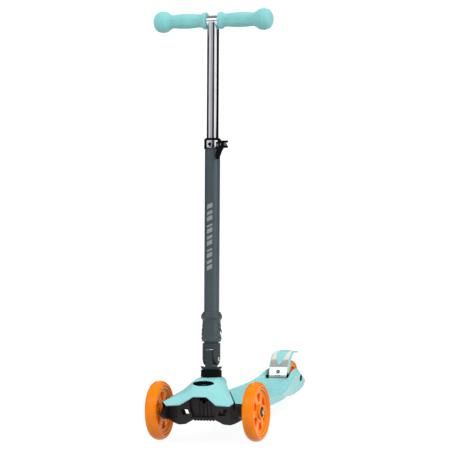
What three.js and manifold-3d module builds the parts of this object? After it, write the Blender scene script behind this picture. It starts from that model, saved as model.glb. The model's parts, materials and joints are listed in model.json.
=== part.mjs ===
// Three-wheeled kick scooter for a small child, in millimetres, +Z up.
// It leans to steer, its stem folds back over the deck and its T-bar telescopes.
// The scooter faces -Y. The origin is on the ground, under the middle of its outline.

import * as THREE from "three";
import { mergeVertices } from "three/addons/utils/BufferGeometryUtils.js";
import Module from "manifold-3d";

const wasm = await Module();
wasm.setup();

// Driving dimensions.
const WHEELBASE = 495;
const TRACK = 206.5;
const FRONT_WHEEL_RADIUS = 60;
const FRONT_TYRE_WIDTH = 24;
const REAR_WHEEL_RADIUS = 40;
const REAR_TYRE_WIDTH = 38;
const DECK_HALF_WIDTH = 64;
const FORK_HALF_WIDTH = 38;
const FORK_GAP_HALF = 26.3;
const STEM_RAKE = THREE.MathUtils.degToRad(9.4);
const STEM_FOOT_Y = 10.75; // where the stem's axis meets the ground, behind the front axle
const FOLD_PIN_S = 162.7; // heights marked _S are measured along the stem from the ground
const HEAD_TOP_S = 194.4;
const COLLAR_BOTTOM_S = 588;
const TUBE_TOP_S = 605;
const BAR_S = 848.1;
const BAR_HALF_LENGTH = 127;
const OUTER_TUBE_RADIUS = 15.5;
const OUTER_TUBE_BORE = 13.5;
const INNER_TUBE_RADIUS = 12;
const CROSS_TUBE_RADIUS = 11;
const KINGPIN_TOP = [0, -17, 120];
const KINGPIN_LEAN = THREE.MathUtils.degToRad(22);
const AXLE_RADIUS = 4;
const BEARING_RADIUS = 10.9;
const BEARING_WIDTH = 7;
const BRAKE_PIN = [448.5, 50.5]; // y, z
const BRAKE_PIN_RADIUS = 2.2;
const GAP = 0.3; // clearance between neighbours
const TYRE_SIDES = 28;
const CORE_SIDES = 20;
const FINE = 24; // sides of a large round piece
const COARSE = 12; // sides of a small round piece

const MATERIALS = {
  mintPlastic: { color: 0x9fdcd6, roughness: 0.4, metalness: 0 },
  mintRubber: { color: 0x86c8c6, roughness: 0.6, metalness: 0 },
  orangeTyre: { color: 0xf58205, roughness: 0.25, metalness: 0 },
  orangeCore: { color: 0xf06a00, roughness: 0.3, metalness: 0 },
  blackPlastic: { color: 0x1a1a1c, roughness: 0.55, metalness: 0 },
  greyPlastic: { color: 0x46555c, roughness: 0.5, metalness: 0 },
  greyPaint: { color: 0x4a555c, roughness: 0.4, metalness: 0.3 },
  greyPad: { color: 0xb0aea6, roughness: 0.8, metalness: 0 },
  chrome: { color: 0xd8d8dc, roughness: 0.08, metalness: 1 },
  steel: { color: 0xb8b8bc, roughness: 0.3, metalness: 1 },
};
for (const name of Object.keys(MATERIALS)) {
  MATERIALS[name] = new THREE.MeshStandardMaterial(MATERIALS[name]);
}

// Solids: joining and cutting closed geometries.

function toSolid(geometry) {
  const bare = geometry.clone();
  bare.deleteAttribute("normal");
  bare.deleteAttribute("uv");
  const merged = mergeVertices(bare, 1e-3);
  const vertProperties = new Float32Array(merged.attributes.position.array);
  const triVerts = new Uint32Array(merged.index.array);
  return new wasm.Manifold(new wasm.Mesh({ numProp: 3, vertProperties, triVerts }));
}

function toGeometry(solid) {
  const { vertProperties, triVerts } = solid.getMesh();
  const geometry = new THREE.BufferGeometry();
  geometry.setAttribute("position", new THREE.BufferAttribute(vertProperties, 3));
  geometry.setIndex(new THREE.BufferAttribute(triVerts, 1));
  geometry.computeVertexNormals();
  return geometry;
}

const join = (first, ...rest) =>
  toGeometry(rest.reduce((sum, piece) => sum.add(toSolid(piece)), toSolid(first)));
const cut = (base, ...tools) =>
  toGeometry(tools.reduce((left, tool) => left.subtract(toSolid(tool)), toSolid(base)));
const common = (first, ...rest) =>
  toGeometry(rest.reduce((kept, piece) => kept.intersect(toSolid(piece)), toSolid(first)));

// Basic closed geometries, placed by the axis they run along.

function box([x0, y0, z0], [x1, y1, z1]) {
  const made = new THREE.BoxGeometry(x1 - x0, y1 - y0, z1 - z0);
  return made.translate((x0 + x1) / 2, (y0 + y1) / 2, (z0 + z1) / 2);
}

// A lathe's profile is a list of [radius, distance along the axis].
function lathe(profile, sides = COARSE) {
  return new THREE.LatheGeometry(profile.map(([r, h]) => new THREE.Vector2(r, h)), sides);
}
const latheX = (profile, sides) => lathe(profile, sides).rotateZ(-Math.PI / 2);
const latheZ = (profile, sides) => lathe(profile, sides).rotateX(Math.PI / 2);

const rod = (radius, from, to) => [[0, from], [radius, from], [radius, to], [0, to]];
const ring = (inner, outer, from, to) => [
  [inner, from],
  [outer, from],
  [outer, to],
  [inner, to],
  [inner, from],
];

function rodX(radius, from, to, y, z, sides = COARSE) {
  return latheX(rod(radius, from, to), sides).translate(0, y, z);
}

function rodY(radius, from, to, x, z, sides = COARSE) {
  return lathe(rod(radius, from, to), sides).translate(x, 0, z);
}

// A hexagonal nut around +Z with a round hole.
function nut(boreRadius, outerRadius, from, to) {
  return cut(latheZ(rod(outerRadius, from, to), 6), latheZ(rod(boreRadius, from - 1, to + 1)));
}

function extrude(outline, depth) {
  const drawn = outline instanceof THREE.Shape;
  const shape = drawn ? outline : new THREE.Shape(outline.map(([a, b]) => new THREE.Vector2(a, b)));
  return new THREE.ExtrudeGeometry(shape, { depth, bevelEnabled: false, curveSegments: 10 });
}

const X = new THREE.Vector3(1, 0, 0);
const Y = new THREE.Vector3(0, 1, 0);
const Z = new THREE.Vector3(0, 0, 1);

// A side outline of [y, z] points, run across the scooter from x0 to x1.
function sideways(outline, x0, x1) {
  const turned = new THREE.Matrix4().makeBasis(Y, Z, X);
  return extrude(outline, x1 - x0).applyMatrix4(turned).translate(x0, 0, 0);
}

// A front outline of [x, z] points, run lengthways from y0 to y1.
function lengthways(outline, y0, y1) {
  const turned = new THREE.Matrix4().makeBasis(X, Z, Y.clone().negate());
  return extrude(outline, y1 - y0).applyMatrix4(turned).translate(0, y1, 0);
}

const upwards = (outline, z0, z1) => extrude(outline, z1 - z0).translate(0, 0, z0);

const mirrored = (half) => [...half, ...half.map(([x, b]) => [-x, b]).reverse()];

// The x range between two distances from the middle, on the side that is +1 or -1.
const onSide = (side, near, far) => (side > 0 ? [near, far] : [-far, -near]);

function sideBox(side, [near, y0, z0], [far, y1, z1]) {
  const [x0, x1] = onSide(side, near, far);
  return box([x0, y0, z0], [x1, y1, z1]);
}

const smooth = (points, steps) =>
  new THREE.SplineCurve(points.map(([a, b]) => new THREE.Vector2(a, b)))
    .getPoints(steps)
    .map((p) => [p.x, p.y]);

// A closed outline of the given thickness that lies to the right of an open line of points.
function strip(line, thickness, lift = 0) {
  const normalAt = (i) => {
    const before = line[Math.max(i - 1, 0)];
    const after = line[Math.min(i + 1, line.length - 1)];
    const along = new THREE.Vector2(after[0] - before[0], after[1] - before[1]).normalize();
    return [along.y, -along.x];
  };
  const moved = (distance) =>
    line.map(([a, b], i) => {
      const [na, nb] = normalAt(i);
      return [a + na * distance, b + nb * distance];
    });
  return [...moved(-lift), ...moved(thickness - lift).reverse()];
}

function part(name, geometry, material) {
  const mesh = new THREE.Mesh(geometry, MATERIALS[material]);
  mesh.name = name;
  return mesh;
}

// Deck.

const DECK_FRONT_Y = 50;
const FORK_SLOT_Y = 443;
const AXLE_SEAT_X = 32; // the rear axle's head and nut bear here, inside the arms

function deckPlan() {
  const side = smooth(
    [
      [46, DECK_FRONT_Y],
      [55, 57],
      [60, 100],
      [DECK_HALF_WIDTH, 170],
      [DECK_HALF_WIDTH, 290],
      [56, 350],
      [46, 408],
      [39.5, 442],
      [FORK_HALF_WIDTH, 470],
      [FORK_HALF_WIDTH, 540],
    ],
    18,
  );
  return upwards(mirrored(side), 0, 90);
}

function deckBody() {
  const top = [[DECK_FRONT_Y, 61], [110, 57.5], [200, 53.5], [340, 49.5], [455, 47]];
  const bottom = [[455, 13], [408, 20], [350, 29], [220, 31], [110, 44], [DECK_FRONT_Y, 56.5]];
  const outline = [...top, ...smooth(bottom, 9)];
  return sideways(outline, -90, 90);
}

function forkArms() {
  const outline = smooth(
    [
      [398, 47],
      [427, 54],
      [455, 61],
      [480, 64],
      [497, 58],
      [514, 44],
      [523, 32],
      [513, 20],
      [485, 13],
      [455, 13],
      [408, 21],
    ],
    18,
  );
  return [-1, 1].map((side) =>
    sideways(outline, ...onSide(side, FORK_GAP_HALF - 1, FORK_HALF_WIDTH + 10)),
  );
}

// Open cells under the deck, which leave its ribs standing.
function deckCells() {
  const rows = [
    { from: 130, to: 186, half: 54, top: 50 },
    { from: 189, to: 245, half: 56, top: 47.5 },
    { from: 248, to: 304, half: 56, top: 46 },
    { from: 307, to: 350, half: 48, top: 44.5 },
    { from: 353, to: 400, half: 38, top: 43.5 },
  ];
  const rib = 3;
  const columns = 4;
  return rows.flatMap(({ from, to, half, top }) => {
    const width = (2 * half - rib * (columns - 1)) / columns;
    return Array.from({ length: columns }, (_, i) => {
      const left = -half + i * (width + rib);
      return box([left, from, 0], [left + width, to, top]);
    });
  });
}

function deck() {
  const whole = common(join(deckBody(), ...forkArms()), deckPlan());
  const wheelSlot = box([-FORK_GAP_HALF, FORK_SLOT_Y, -5], [FORK_GAP_HALF, 560, 100]);
  const mountSlot = box([-22, 40, -5], [22, 126, 52.8]);
  const noseCells = [-1, 1].map((side) => sideBox(side, [26, 62, 0], [52, 126, 52]));
  const pinHole = rodX(BRAKE_PIN_RADIUS + 2 * GAP, -31, 31, ...BRAKE_PIN);
  const axleHole = rodX(AXLE_RADIUS + GAP, -60, 60, WHEELBASE, REAR_WHEEL_RADIUS);
  const boltSeats = [-1, 1].map((side) =>
    rodX(8, ...onSide(side, AXLE_SEAT_X, 60), WHEELBASE, REAR_WHEEL_RADIUS),
  );
  return cut(whole, wheelSlot, mountSlot, ...noseCells, ...deckCells(), pinHole, axleHole, ...boltSeats);
}

// Front hood: one folded panel of moulded plastic. Each row of corners runs from the centre line
// to the right-hand edge, and the rows run from the stem forwards.

const HOOD_THICKNESS = 3.2;
const HOOD_ROWS = [
  [[0, 60, 120.5], [17, 59, 120], [26, 55, 117], [32, 49, 112]],
  [[0, 9, 129], [22, 9, 128.5], [31, 12, 122], [39, 15, 113]],
  [[0, -17, 120], [21, -17, 119.5], [36, -13, 111], [51, -6, 102]],
  [[0, -36, 109.5], [18, -36, 109], [43, -38, 98], [75, -52, 88]],
  [[0, -44, 97], [14, -44, 97], [39, -58.5, 84], [67, -58.5, 82]],
];

function foldedPanel(rows, offset) {
  const across = rows[0].length * 2 - 1;
  const full = rows.map((row) => {
    const left = row.slice(1).reverse().map(([x, y, z]) => [-x, y, z]);
    return [...left, ...row];
  });
  const upper = full.flat();
  const lower = upper.map(([x, y, z]) => [x * offset.shrink, y + offset.y, z + offset.z]);
  const below = upper.length;
  const at = (row, column) => row * across + column;
  const faces = [];
  const quad = (a, b, c, d) => faces.push(a, b, c, a, c, d);
  for (let row = 0; row < rows.length - 1; row += 1) {
    for (let column = 0; column < across - 1; column += 1) {
      const corners = [at(row, column), at(row + 1, column), at(row + 1, column + 1), at(row, column + 1)];
      quad(...corners);
      quad(...corners.map((corner) => corner + below).reverse());
    }
  }
  const last = rows.length - 1;
  const rim = [
    ...Array.from({ length: across }, (_, i) => at(0, i)),
    ...Array.from({ length: last }, (_, i) => at(i + 1, across - 1)),
    ...Array.from({ length: across - 1 }, (_, i) => at(last, across - 2 - i)),
    ...Array.from({ length: last - 1 }, (_, i) => at(last - 1 - i, 0)),
  ];
  rim.forEach((corner, i) => {
    const next = rim[(i + 1) % rim.length];
    quad(corner, next, next + below, corner + below);
  });
  const geometry = new THREE.BufferGeometry();
  geometry.setAttribute("position", new THREE.Float32BufferAttribute([...upper, ...lower].flat(), 3));
  geometry.setIndex(faces);
  return geometry;
}

const OVAL_HALF_LENGTH = 22.5;
const OVAL_HALF_DEPTH = 11;

function oval(halfLength, halfDepth) {
  const shape = new THREE.Shape();
  shape.absellipse(0, 0, halfLength, halfDepth, 0, Math.PI * 2);
  return shape;
}

// Puts a geometry drawn around +Z onto the kingpin's axis.
function onKingpin(geometry) {
  return geometry.rotateX(KINGPIN_LEAN).translate(...KINGPIN_TOP);
}

// Puts a geometry drawn around +Z onto the stem's axis.
function onStem(geometry) {
  return geometry.rotateX(-STEM_RAKE).translate(0, STEM_FOOT_Y, 0);
}

const POST_RADIUS = 14;
const POST_BOTTOM_S = 97;
const RING_BOTTOM_S = 128.6;
const RING_TOP_S = 140.1;

function frontHood() {
  const panel = foldedPanel(HOOD_ROWS, { shrink: 0.97, y: 1.8, z: -HOOD_THICKNESS });
  const postHole = onStem(latheZ(rod(POST_RADIUS + 1, 90, 150)));
  const ovalHole = onKingpin(extrude(oval(OVAL_HALF_LENGTH, OVAL_HALF_DEPTH), 40).translate(0, 0, -20));
  const ringSeat = onStem(latheZ(rod(22, RING_BOTTOM_S - GAP, 150), FINE));
  return cut(panel, postHole, ovalHole, ringSeat);
}

function hoodOvalInsert() {
  const dish = extrude(oval(OVAL_HALF_LENGTH - GAP, OVAL_HALF_DEPTH - GAP), 4).translate(0, 0, -5.5);
  const hollow = extrude(oval(OVAL_HALF_LENGTH - 2, OVAL_HALF_DEPTH - 2), 4).translate(0, 0, -3.5);
  return onKingpin(cut(dish, hollow, latheZ(rod(7, -9, 2))));
}

// Nose mount: the black casting that ties the stem's post, the kingpin and the deck together.

function noseMount() {
  const outline = [
    [-26, 92],
    [-26, 98],
    [-13, 109],
    [8, 118],
    [49.5, 110],
    [49.5, 52.5],
    [120, 52.5],
    [124, 48],
    [124, 44],
    [34, 42],
    [30, 46],
    [30, 88],
    [26, 92],
  ];
  const kingpinHole = onKingpin(latheZ(rod(AXLE_RADIUS + GAP, -90, 10)));
  const headSeat = onKingpin(latheZ(rod(7.2, -11.5, 10)));
  const postHole = onStem(latheZ(rod(POST_RADIUS + GAP, POST_BOTTOM_S - GAP, 150), FINE));
  const insertRoom = onKingpin(extrude(oval(OVAL_HALF_LENGTH, OVAL_HALF_DEPTH), 20).translate(0, 0, -5.9));
  return cut(sideways(outline, -19, 19), kingpinHole, headSeat, postHole, insertRoom);
}

function kingpin() {
  return onKingpin(
    latheZ([
      [0, -82],
      [AXLE_RADIUS, -82],
      [AXLE_RADIUS, -11],
      [6.4, -11],
      [6.4, -4.5],
      [5.4, -3.6],
      [0, -3.6],
    ]),
  );
}

const steerBush = () => onKingpin(latheZ(ring(AXLE_RADIUS + GAP, 10, -41.7, -35)));
const kingpinNut = () => onKingpin(nut(AXLE_RADIUS + GAP, 7, -79, -72.5));

function hingeBase() {
  const post = latheZ(
    [
      [0, POST_BOTTOM_S],
      [POST_RADIUS, POST_BOTTOM_S],
      [POST_RADIUS, RING_TOP_S + GAP],
      [18.5, RING_TOP_S + GAP],
      [21, 143.6],
      [21, 145],
      [0, 145],
    ],
    FINE,
  );
  const horns = [-1, 1].map((side) => sideBox(side, [18.7, -6, 144], [20.6, 6, 147.3]));
  const roundRadius = 18.5;
  const outline = new THREE.Shape();
  outline.moveTo(-18, 143);
  outline.lineTo(18, 143);
  outline.lineTo(18, FOLD_PIN_S);
  outline.lineTo(roundRadius - GAP, FOLD_PIN_S);
  outline.absarc(0, FOLD_PIN_S, roundRadius - GAP, 0, Math.PI / 2, false);
  outline.lineTo(-18, FOLD_PIN_S + roundRadius - GAP);
  const tongue = common(sideways(outline, -8.7, 8.7), latheZ(rod(18, 140, 190), FINE));
  return cut(join(post, ...horns, tongue), rodX(AXLE_RADIUS + GAP, -12, 12, 0, FOLD_PIN_S));
}

const baseRing = () => latheZ(ring(POST_RADIUS + GAP, 21.25, RING_BOTTOM_S, RING_TOP_S), FINE);

// Truck: the black beam that carries the front wheels and turns on the kingpin.

const TRUCK_ARM_END = 90.4;

function truck() {
  const front = mirrored([
    [21, 47],
    [30, 43],
    [40, 37],
    [55, 35.5],
    [66, 39],
    [83, 48],
    [87, 53],
    [87, 70],
    [78, 77],
    [54, 81.5],
    [30, 92],
    [26, 92.5],
    [24, 88],
  ]);
  const plan = mirrored([
    [24, -24],
    [60, -20],
    [87, -12],
    [87, 12],
    [60, 18],
    [24, 21],
  ]);
  const window = [[50, 67], [34, 67], [29.3, 54.8], [45.3, 54.8]];
  const windows = [-1, 1].map((side) =>
    lengthways(window.map(([x, z]) => [side * x, z]), -40, 40),
  );
  const rearPockets = [-1, 1].map((side) => sideBox(side, [26, -2, 50], [58, 30, 76]));
  const hub = common(onKingpin(latheZ(rod(13, -72, -42))), box([-20, -30, 40], [20, 30, 100]));
  const bosses = [-1, 1].map((side) =>
    rodX(8, ...onSide(side, 80, TRUCK_ARM_END), 0, FRONT_WHEEL_RADIUS),
  );
  const beam = cut(
    common(lengthways(front, -30, 30), upwards(plan, 20, 100)),
    onKingpin(latheZ(rod(16, -42, 0))),
    onKingpin(latheZ(rod(16, -95, -72))),
  );
  const boltHoles = [-1, 1].map((side) =>
    rodX(AXLE_RADIUS + GAP, ...onSide(side, 64, 100), 0, FRONT_WHEEL_RADIUS),
  );
  const kingpinHole = onKingpin(latheZ(rod(AXLE_RADIUS + GAP, -90, 10)));
  return cut(join(beam, hub, ...bosses), ...windows, ...rearPockets, ...boltHoles, kingpinHole);
}

// Wheels, each drawn around the X axis with its outer face towards +X.

// The section of a tyre, as [radius, x] points on a rounded square.
function tyreProfile(radius, rimRadius, width) {
  const flatness = 0.62;
  const base = rimRadius + 0.5;
  const crown = [-90, -66, -42, -20, 0, 20, 42, 66, 90].map((degrees) => {
    const angle = THREE.MathUtils.degToRad(degrees);
    const rise = Math.max(Math.cos(angle), 0) ** flatness;
    const side = Math.sign(angle) * Math.abs(Math.sin(angle)) ** flatness;
    return [base + (radius - base) * rise, (width / 2) * side];
  });
  const inner = [[rimRadius, width / 2 - 1], [rimRadius, 1 - width / 2]];
  return [...crown, ...inner, crown[0]];
}

function wheelCore({ rimRadius, width, hubHalfWidth, spokes }) {
  const rim = rimRadius - 2 * GAP;
  const lip = width / 2 - 1.5;
  const seat = BEARING_RADIUS + GAP;
  const body = latheX(
    [
      [7.5, -hubHalfWidth + BEARING_WIDTH + GAP],
      [seat, -hubHalfWidth + BEARING_WIDTH + GAP],
      [seat, -hubHalfWidth],
      [15, -hubHalfWidth],
      [15, -4],
      [rim - 5, -4],
      [rim - 5, -lip],
      [rim, -lip],
      [rim, lip],
      [rim - 5, lip],
      [rim - 5, 4],
      [15, 4],
      [15, hubHalfWidth],
      [seat, hubHalfWidth],
      [seat, hubHalfWidth - BEARING_WIDTH - GAP],
      [7.5, hubHalfWidth - BEARING_WIDTH - GAP],
      [7.5, -hubHalfWidth + BEARING_WIDTH + GAP],
    ],
    CORE_SIDES,
  );
  const blades = Array.from({ length: spokes }, (_, i) => {
    const blade = box([-lip + 1, -3.5, 14], [lip - 1, 3.5, rim - 5.3]);
    return blade.rotateX((i * 2 * Math.PI) / spokes);
  });
  return join(body, ...blades);
}

function wheel(names, { radius, rimRadius, width, hubHalfWidth, spokes }) {
  const inner = hubHalfWidth - BEARING_WIDTH;
  const bearing = () => latheX(ring(AXLE_RADIUS + GAP, BEARING_RADIUS, inner, hubHalfWidth - GAP), COARSE);
  const group = new THREE.Group();
  group.add(
    part(names.tyre, latheX(tyreProfile(radius, rimRadius, width), TYRE_SIDES), "orangeTyre"),
    part(names.core, wheelCore({ rimRadius, width, hubHalfWidth, spokes }), "orangeCore"),
    part(names.outerBearing, bearing(), "steel"),
    part(names.innerBearing, bearing().rotateZ(Math.PI), "steel"),
    part(names.spacer, latheX(ring(AXLE_RADIUS + GAP, 6, GAP - inner, inner - GAP), 12), "steel"),
  );
  return group;
}

const FRONT_HUB_HALF = 12.5;

function frontWheel(side, name) {
  const names = {
    tyre: `front_tyre_${name}`,
    core: `front_wheel_core_${name}`,
    outerBearing: `outer_bearing_${name}`,
    innerBearing: `inner_bearing_${name}`,
    spacer: `bearing_spacer_${name}`,
  };
  const made = wheel(names, {
    radius: FRONT_WHEEL_RADIUS,
    rimRadius: 49,
    width: FRONT_TYRE_WIDTH,
    hubHalfWidth: FRONT_HUB_HALF,
    spokes: 6,
  });
  made.position.set((side * TRACK) / 2, 0, FRONT_WHEEL_RADIUS);
  made.rotation.z = side > 0 ? 0 : Math.PI;
  return made;
}

function rearWheel() {
  const names = {
    tyre: "rear_tyre",
    core: "rear_wheel_core",
    outerBearing: "rear_bearing_left",
    innerBearing: "rear_bearing_right",
    spacer: "rear_bearing_spacer",
  };
  const made = wheel(names, {
    radius: REAR_WHEEL_RADIUS,
    rimRadius: 30,
    width: REAR_TYRE_WIDTH,
    hubHalfWidth: REAR_TYRE_WIDTH / 2 + 1,
    spokes: 5,
  });
  made.position.set(0, WHEELBASE, REAR_WHEEL_RADIUS);
  return made;
}

// A bolt along +X whose head's inner face is at headFrom.
function axleBolt(tip, headFrom, headTo, headRadius) {
  return latheX([
    [0, tip],
    [AXLE_RADIUS, tip],
    [AXLE_RADIUS, headFrom],
    [headRadius, headFrom],
    [headRadius, headTo - 1],
    [headRadius - 1, headTo],
    [3, headTo],
    [2.6, headTo - 2.2],
    [0, headTo - 2.2],
  ]);
}

function frontAxleBolt(side) {
  const head = TRACK / 2 + FRONT_HUB_HALF + GAP;
  const bolt = axleBolt(66, head, head + 4.4, 6.4);
  return bolt.rotateZ(side > 0 ? 0 : Math.PI).translate(0, 0, FRONT_WHEEL_RADIUS);
}

function rearAxle() {
  return axleBolt(-36.5, AXLE_SEAT_X + GAP, 36.5, 6.6).translate(0, WHEELBASE, REAR_WHEEL_RADIUS);
}

function rearAxleNut() {
  const made = nut(AXLE_RADIUS + GAP, 6.6, -36.5, -AXLE_SEAT_X - GAP).rotateY(Math.PI / 2);
  return made.translate(0, WHEELBASE, REAR_WHEEL_RADIUS);
}

function rearSpacer(side) {
  const reach = onSide(side, REAR_TYRE_WIDTH / 2 + 1, FORK_GAP_HALF - GAP);
  const made = latheX(ring(AXLE_RADIUS + GAP, 7.5, ...reach));
  return made.translate(0, WHEELBASE, REAR_WHEEL_RADIUS);
}

// Rear brake: a sprung fender over the rear wheel.

const FENDER_HALF_WIDTH = 22.8;
const FENDER_LINE = smooth(
  [
    [451.5, 58],
    [457, 70],
    [465, 81.5],
    [475, 90.5],
    [487, 95.8],
    [500, 97],
    [513, 95.6],
    [526, 93],
  ],
  14,
);
const PLATE_LINE = [
  [447, 53.5],
  [449.6, 58.5],
  [455.1, 70.8],
];

function brakeFender() {
  const skin = sideways(strip(FENDER_LINE, 2.6), -FENDER_HALF_WIDTH, FENDER_HALF_WIDTH);
  const flanges = [-1, 1].map((side) =>
    sideways(
      strip(FENDER_LINE.slice(0, 12), 8),
      ...onSide(side, FENDER_HALF_WIDTH - 2, FENDER_HALF_WIDTH),
    ),
  );
  return join(skin, ...flanges);
}

// The pad lies just above the fender's skin.
function fenderPad() {
  return sideways(strip(FENDER_LINE.slice(3), 1.2, 1.2 + GAP), -18.5, 18.5);
}

const PLATE_HALF_WIDTH = 20;
const PLATE_THICKNESS = 1.4;

function brakePlate() {
  const across = [-PLATE_HALF_WIDTH, PLATE_HALF_WIDTH];
  const skin = sideways(strip(PLATE_LINE, PLATE_THICKNESS, PLATE_THICKNESS), ...across);
  const knuckle = rodX(4, ...across, ...BRAKE_PIN);
  const bridge = box([-PLATE_HALF_WIDTH, 446, 51.5], [PLATE_HALF_WIDTH, 449.5, 55]);
  const pinHole = rodX(BRAKE_PIN_RADIUS + GAP, -25, 25, ...BRAKE_PIN);
  const springGap = box([-7, 440, 40], [7, 460, 56]);
  return cut(join(skin, knuckle, bridge), pinHole, springGap);
}

function plateRivet() {
  const lean = Math.atan2(5.5, 12.3);
  const stud = latheZ([[0, GAP], [3.4, GAP], [3.2, 1.4], [2, 2], [0, 2.1]]);
  return stud.rotateX(Math.PI / 2 - lean).translate(0, 451 - PLATE_THICKNESS * Math.cos(lean), 64.7);
}

const brakeHingePin = () => rodX(BRAKE_PIN_RADIUS, -30, 30, ...BRAKE_PIN);
const brakeSpring = () =>
  latheX(ring(BRAKE_PIN_RADIUS + GAP, 4, -6.6, 6.6)).translate(0, ...BRAKE_PIN);

function brakeBush(side) {
  const ends = onSide(side, PLATE_HALF_WIDTH + 0.5, FORK_GAP_HALF - GAP);
  return latheX(ring(BRAKE_PIN_RADIUS + GAP, 4.4, ...ends), 16).translate(0, ...BRAKE_PIN);
}

// Stem, drawn upright around +Z and then raked. Heights are along the stem.

function hingeHead() {
  const radius = 18.2;
  const cheekRadius = 12.7;
  const outline = new THREE.Shape();
  outline.moveTo(cheekRadius, 178);
  outline.lineTo(-cheekRadius, 178);
  outline.lineTo(-cheekRadius, FOLD_PIN_S);
  outline.absarc(0, FOLD_PIN_S, cheekRadius, Math.PI, 2 * Math.PI, false);
  const drum = latheZ(rod(radius, 176, HEAD_TOP_S), FINE);
  const cheeks = common(sideways(outline, -radius, radius), latheZ(rod(radius, 140, 190), FINE));
  const spigot = latheZ(rod(OUTER_TUBE_BORE - GAP, HEAD_TOP_S - 1, 208), FINE);
  const slot = box([-9, -30, 140], [9, 30, 181.5]);
  const plungerBore = latheZ(rod(7 + GAP, 181, 220));
  const pinHole = rodX(AXLE_RADIUS + GAP, -30, 30, 0, FOLD_PIN_S);
  const seats = [rodX(7.2, 14, 30, 0, FOLD_PIN_S), rodX(7.2, -30, -14, 0, FOLD_PIN_S)];
  return cut(join(drum, cheeks, spigot), slot, plungerBore, pinHole, ...seats);
}

const foldBolt = () => axleBolt(-17.2, 14 + GAP, 17.6, 6.4).translate(0, 0, FOLD_PIN_S);
const foldNut = () =>
  nut(AXLE_RADIUS + GAP, 6.6, -17.4, -14.3).rotateY(Math.PI / 2).translate(0, 0, FOLD_PIN_S);

const SLEEVE_BOLT_S = 215;
const SLEEVE_TRAVEL = 12;
const BUTTON_S = 596;
const BUTTON_RADIUS = 3.4;

function outerTube() {
  const wall = latheZ(
    [
      [OUTER_TUBE_BORE, HEAD_TOP_S + GAP],
      [OUTER_TUBE_RADIUS, HEAD_TOP_S + GAP],
      [OUTER_TUBE_RADIUS, TUBE_TOP_S],
      [OUTER_TUBE_BORE, TUBE_TOP_S],
      [OUTER_TUBE_BORE, 256],
      [5, 256],
      [5, 251],
      [OUTER_TUBE_BORE, 251],
      [OUTER_TUBE_BORE, HEAD_TOP_S + GAP],
    ],
    FINE,
  );
  const slotTop = SLEEVE_BOLT_S + SLEEVE_TRAVEL + 3;
  const slot = box([-20, -3, SLEEVE_BOLT_S - 3], [20, 3, slotTop]);
  const buttonHole = rodY(BUTTON_RADIUS + GAP, -20, 0, 0, BUTTON_S);
  return cut(wall, slot, buttonHole);
}

function lockSleeve() {
  const bore = OUTER_TUBE_RADIUS + GAP;
  const outside = [
    [17.6, 196.8],
    [19.6, 198.4],
    [20.5, 203],
    [20.5, 217],
    [19.2, 224],
    [18.4, 234],
    [19.4, 241],
    [21.5, 245.5],
    [21.5, 249.5],
    [19.4, 254],
    [17.6, 256.9],
  ];
  const wall = latheZ([[bore, 196.8], ...outside, [bore, 256.9], [bore, 196.8]], FINE);
  const boltHole = rodX(2.5 + GAP, -30, 30, 0, SLEEVE_BOLT_S);
  const headSeat = rodX(5 + GAP, 18.6, 30, 0, SLEEVE_BOLT_S);
  return cut(wall, boltHole, headSeat);
}

function sleeveBolt() {
  const bolt = latheX(
    [
      [0, -19.5],
      [2.5, -19.5],
      [2.5, 18.9],
      [5, 18.9],
      [5, 20.2],
      [3.8, 21.2],
      [0, 21.2],
    ],
    16,
  );
  return bolt.translate(0, 0, SLEEVE_BOLT_S);
}

function lockPlunger() {
  const body = latheZ(rod(7, 181.8, 222));
  return cut(body, rodX(2.5 + GAP, -30, 30, 0, SLEEVE_BOLT_S));
}

class Helix extends THREE.Curve {
  constructor(radius, from, to, turns) {
    super();
    Object.assign(this, { radius, from, to, turns });
  }

  getPoint(t) {
    const angle = t * this.turns * 2 * Math.PI;
    const height = this.from + t * (this.to - this.from);
    return new THREE.Vector3(this.radius * Math.cos(angle), this.radius * Math.sin(angle), height);
  }
}

function lockSpring() {
  const turns = 5;
  const wire = new THREE.Shape();
  wire.absarc(0, 0, 0.9, 0, 2 * Math.PI);
  const extrudePath = new Helix(8.5, 223.6, 249.6, turns);
  return new THREE.ExtrudeGeometry(wire, { steps: turns * 8, extrudePath, curveSegments: 3 });
}

function guideBush() {
  const bore = INNER_TUBE_RADIUS + 0.25;
  const wall = latheZ(
    [
      [bore, 566],
      [OUTER_TUBE_BORE - 0.25, 566],
      [OUTER_TUBE_BORE - 0.25, TUBE_TOP_S + GAP],
      [17.2, TUBE_TOP_S + GAP],
      [17.2, 606.2],
      [14.2, 609],
      [bore, 609],
      [bore, 566],
    ],
    FINE,
  );
  return cut(wall, rodY(BUTTON_RADIUS + GAP, -20, 0, 0, BUTTON_S));
}

const COLLAR_RADIUS = 17.2;
const CLAMP_X = 24;
const CLAMP_S = 595.5;
const LEVER_PIVOT = [30.5, -12.6]; // x, y

function clampCollar() {
  const band = latheZ(ring(OUTER_TUBE_RADIUS + GAP, COLLAR_RADIUS, COLLAR_BOTTOM_S, 604.6), FINE);
  const ears = cut(
    box([12, -5, 589.5], [28, 5, 601.5]),
    latheZ(rod(OUTER_TUBE_RADIUS + GAP, 580, 610), FINE),
  );
  const slit = box([10, -0.8, 580], [40, 0.8, 610]);
  const boltHole = rodY(2.4 + GAP, -20, 20, CLAMP_X, CLAMP_S);
  return cut(join(band, ears), slit, boltHole, rodY(BUTTON_RADIUS + GAP, -20, 0, 0, BUTTON_S));
}

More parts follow.
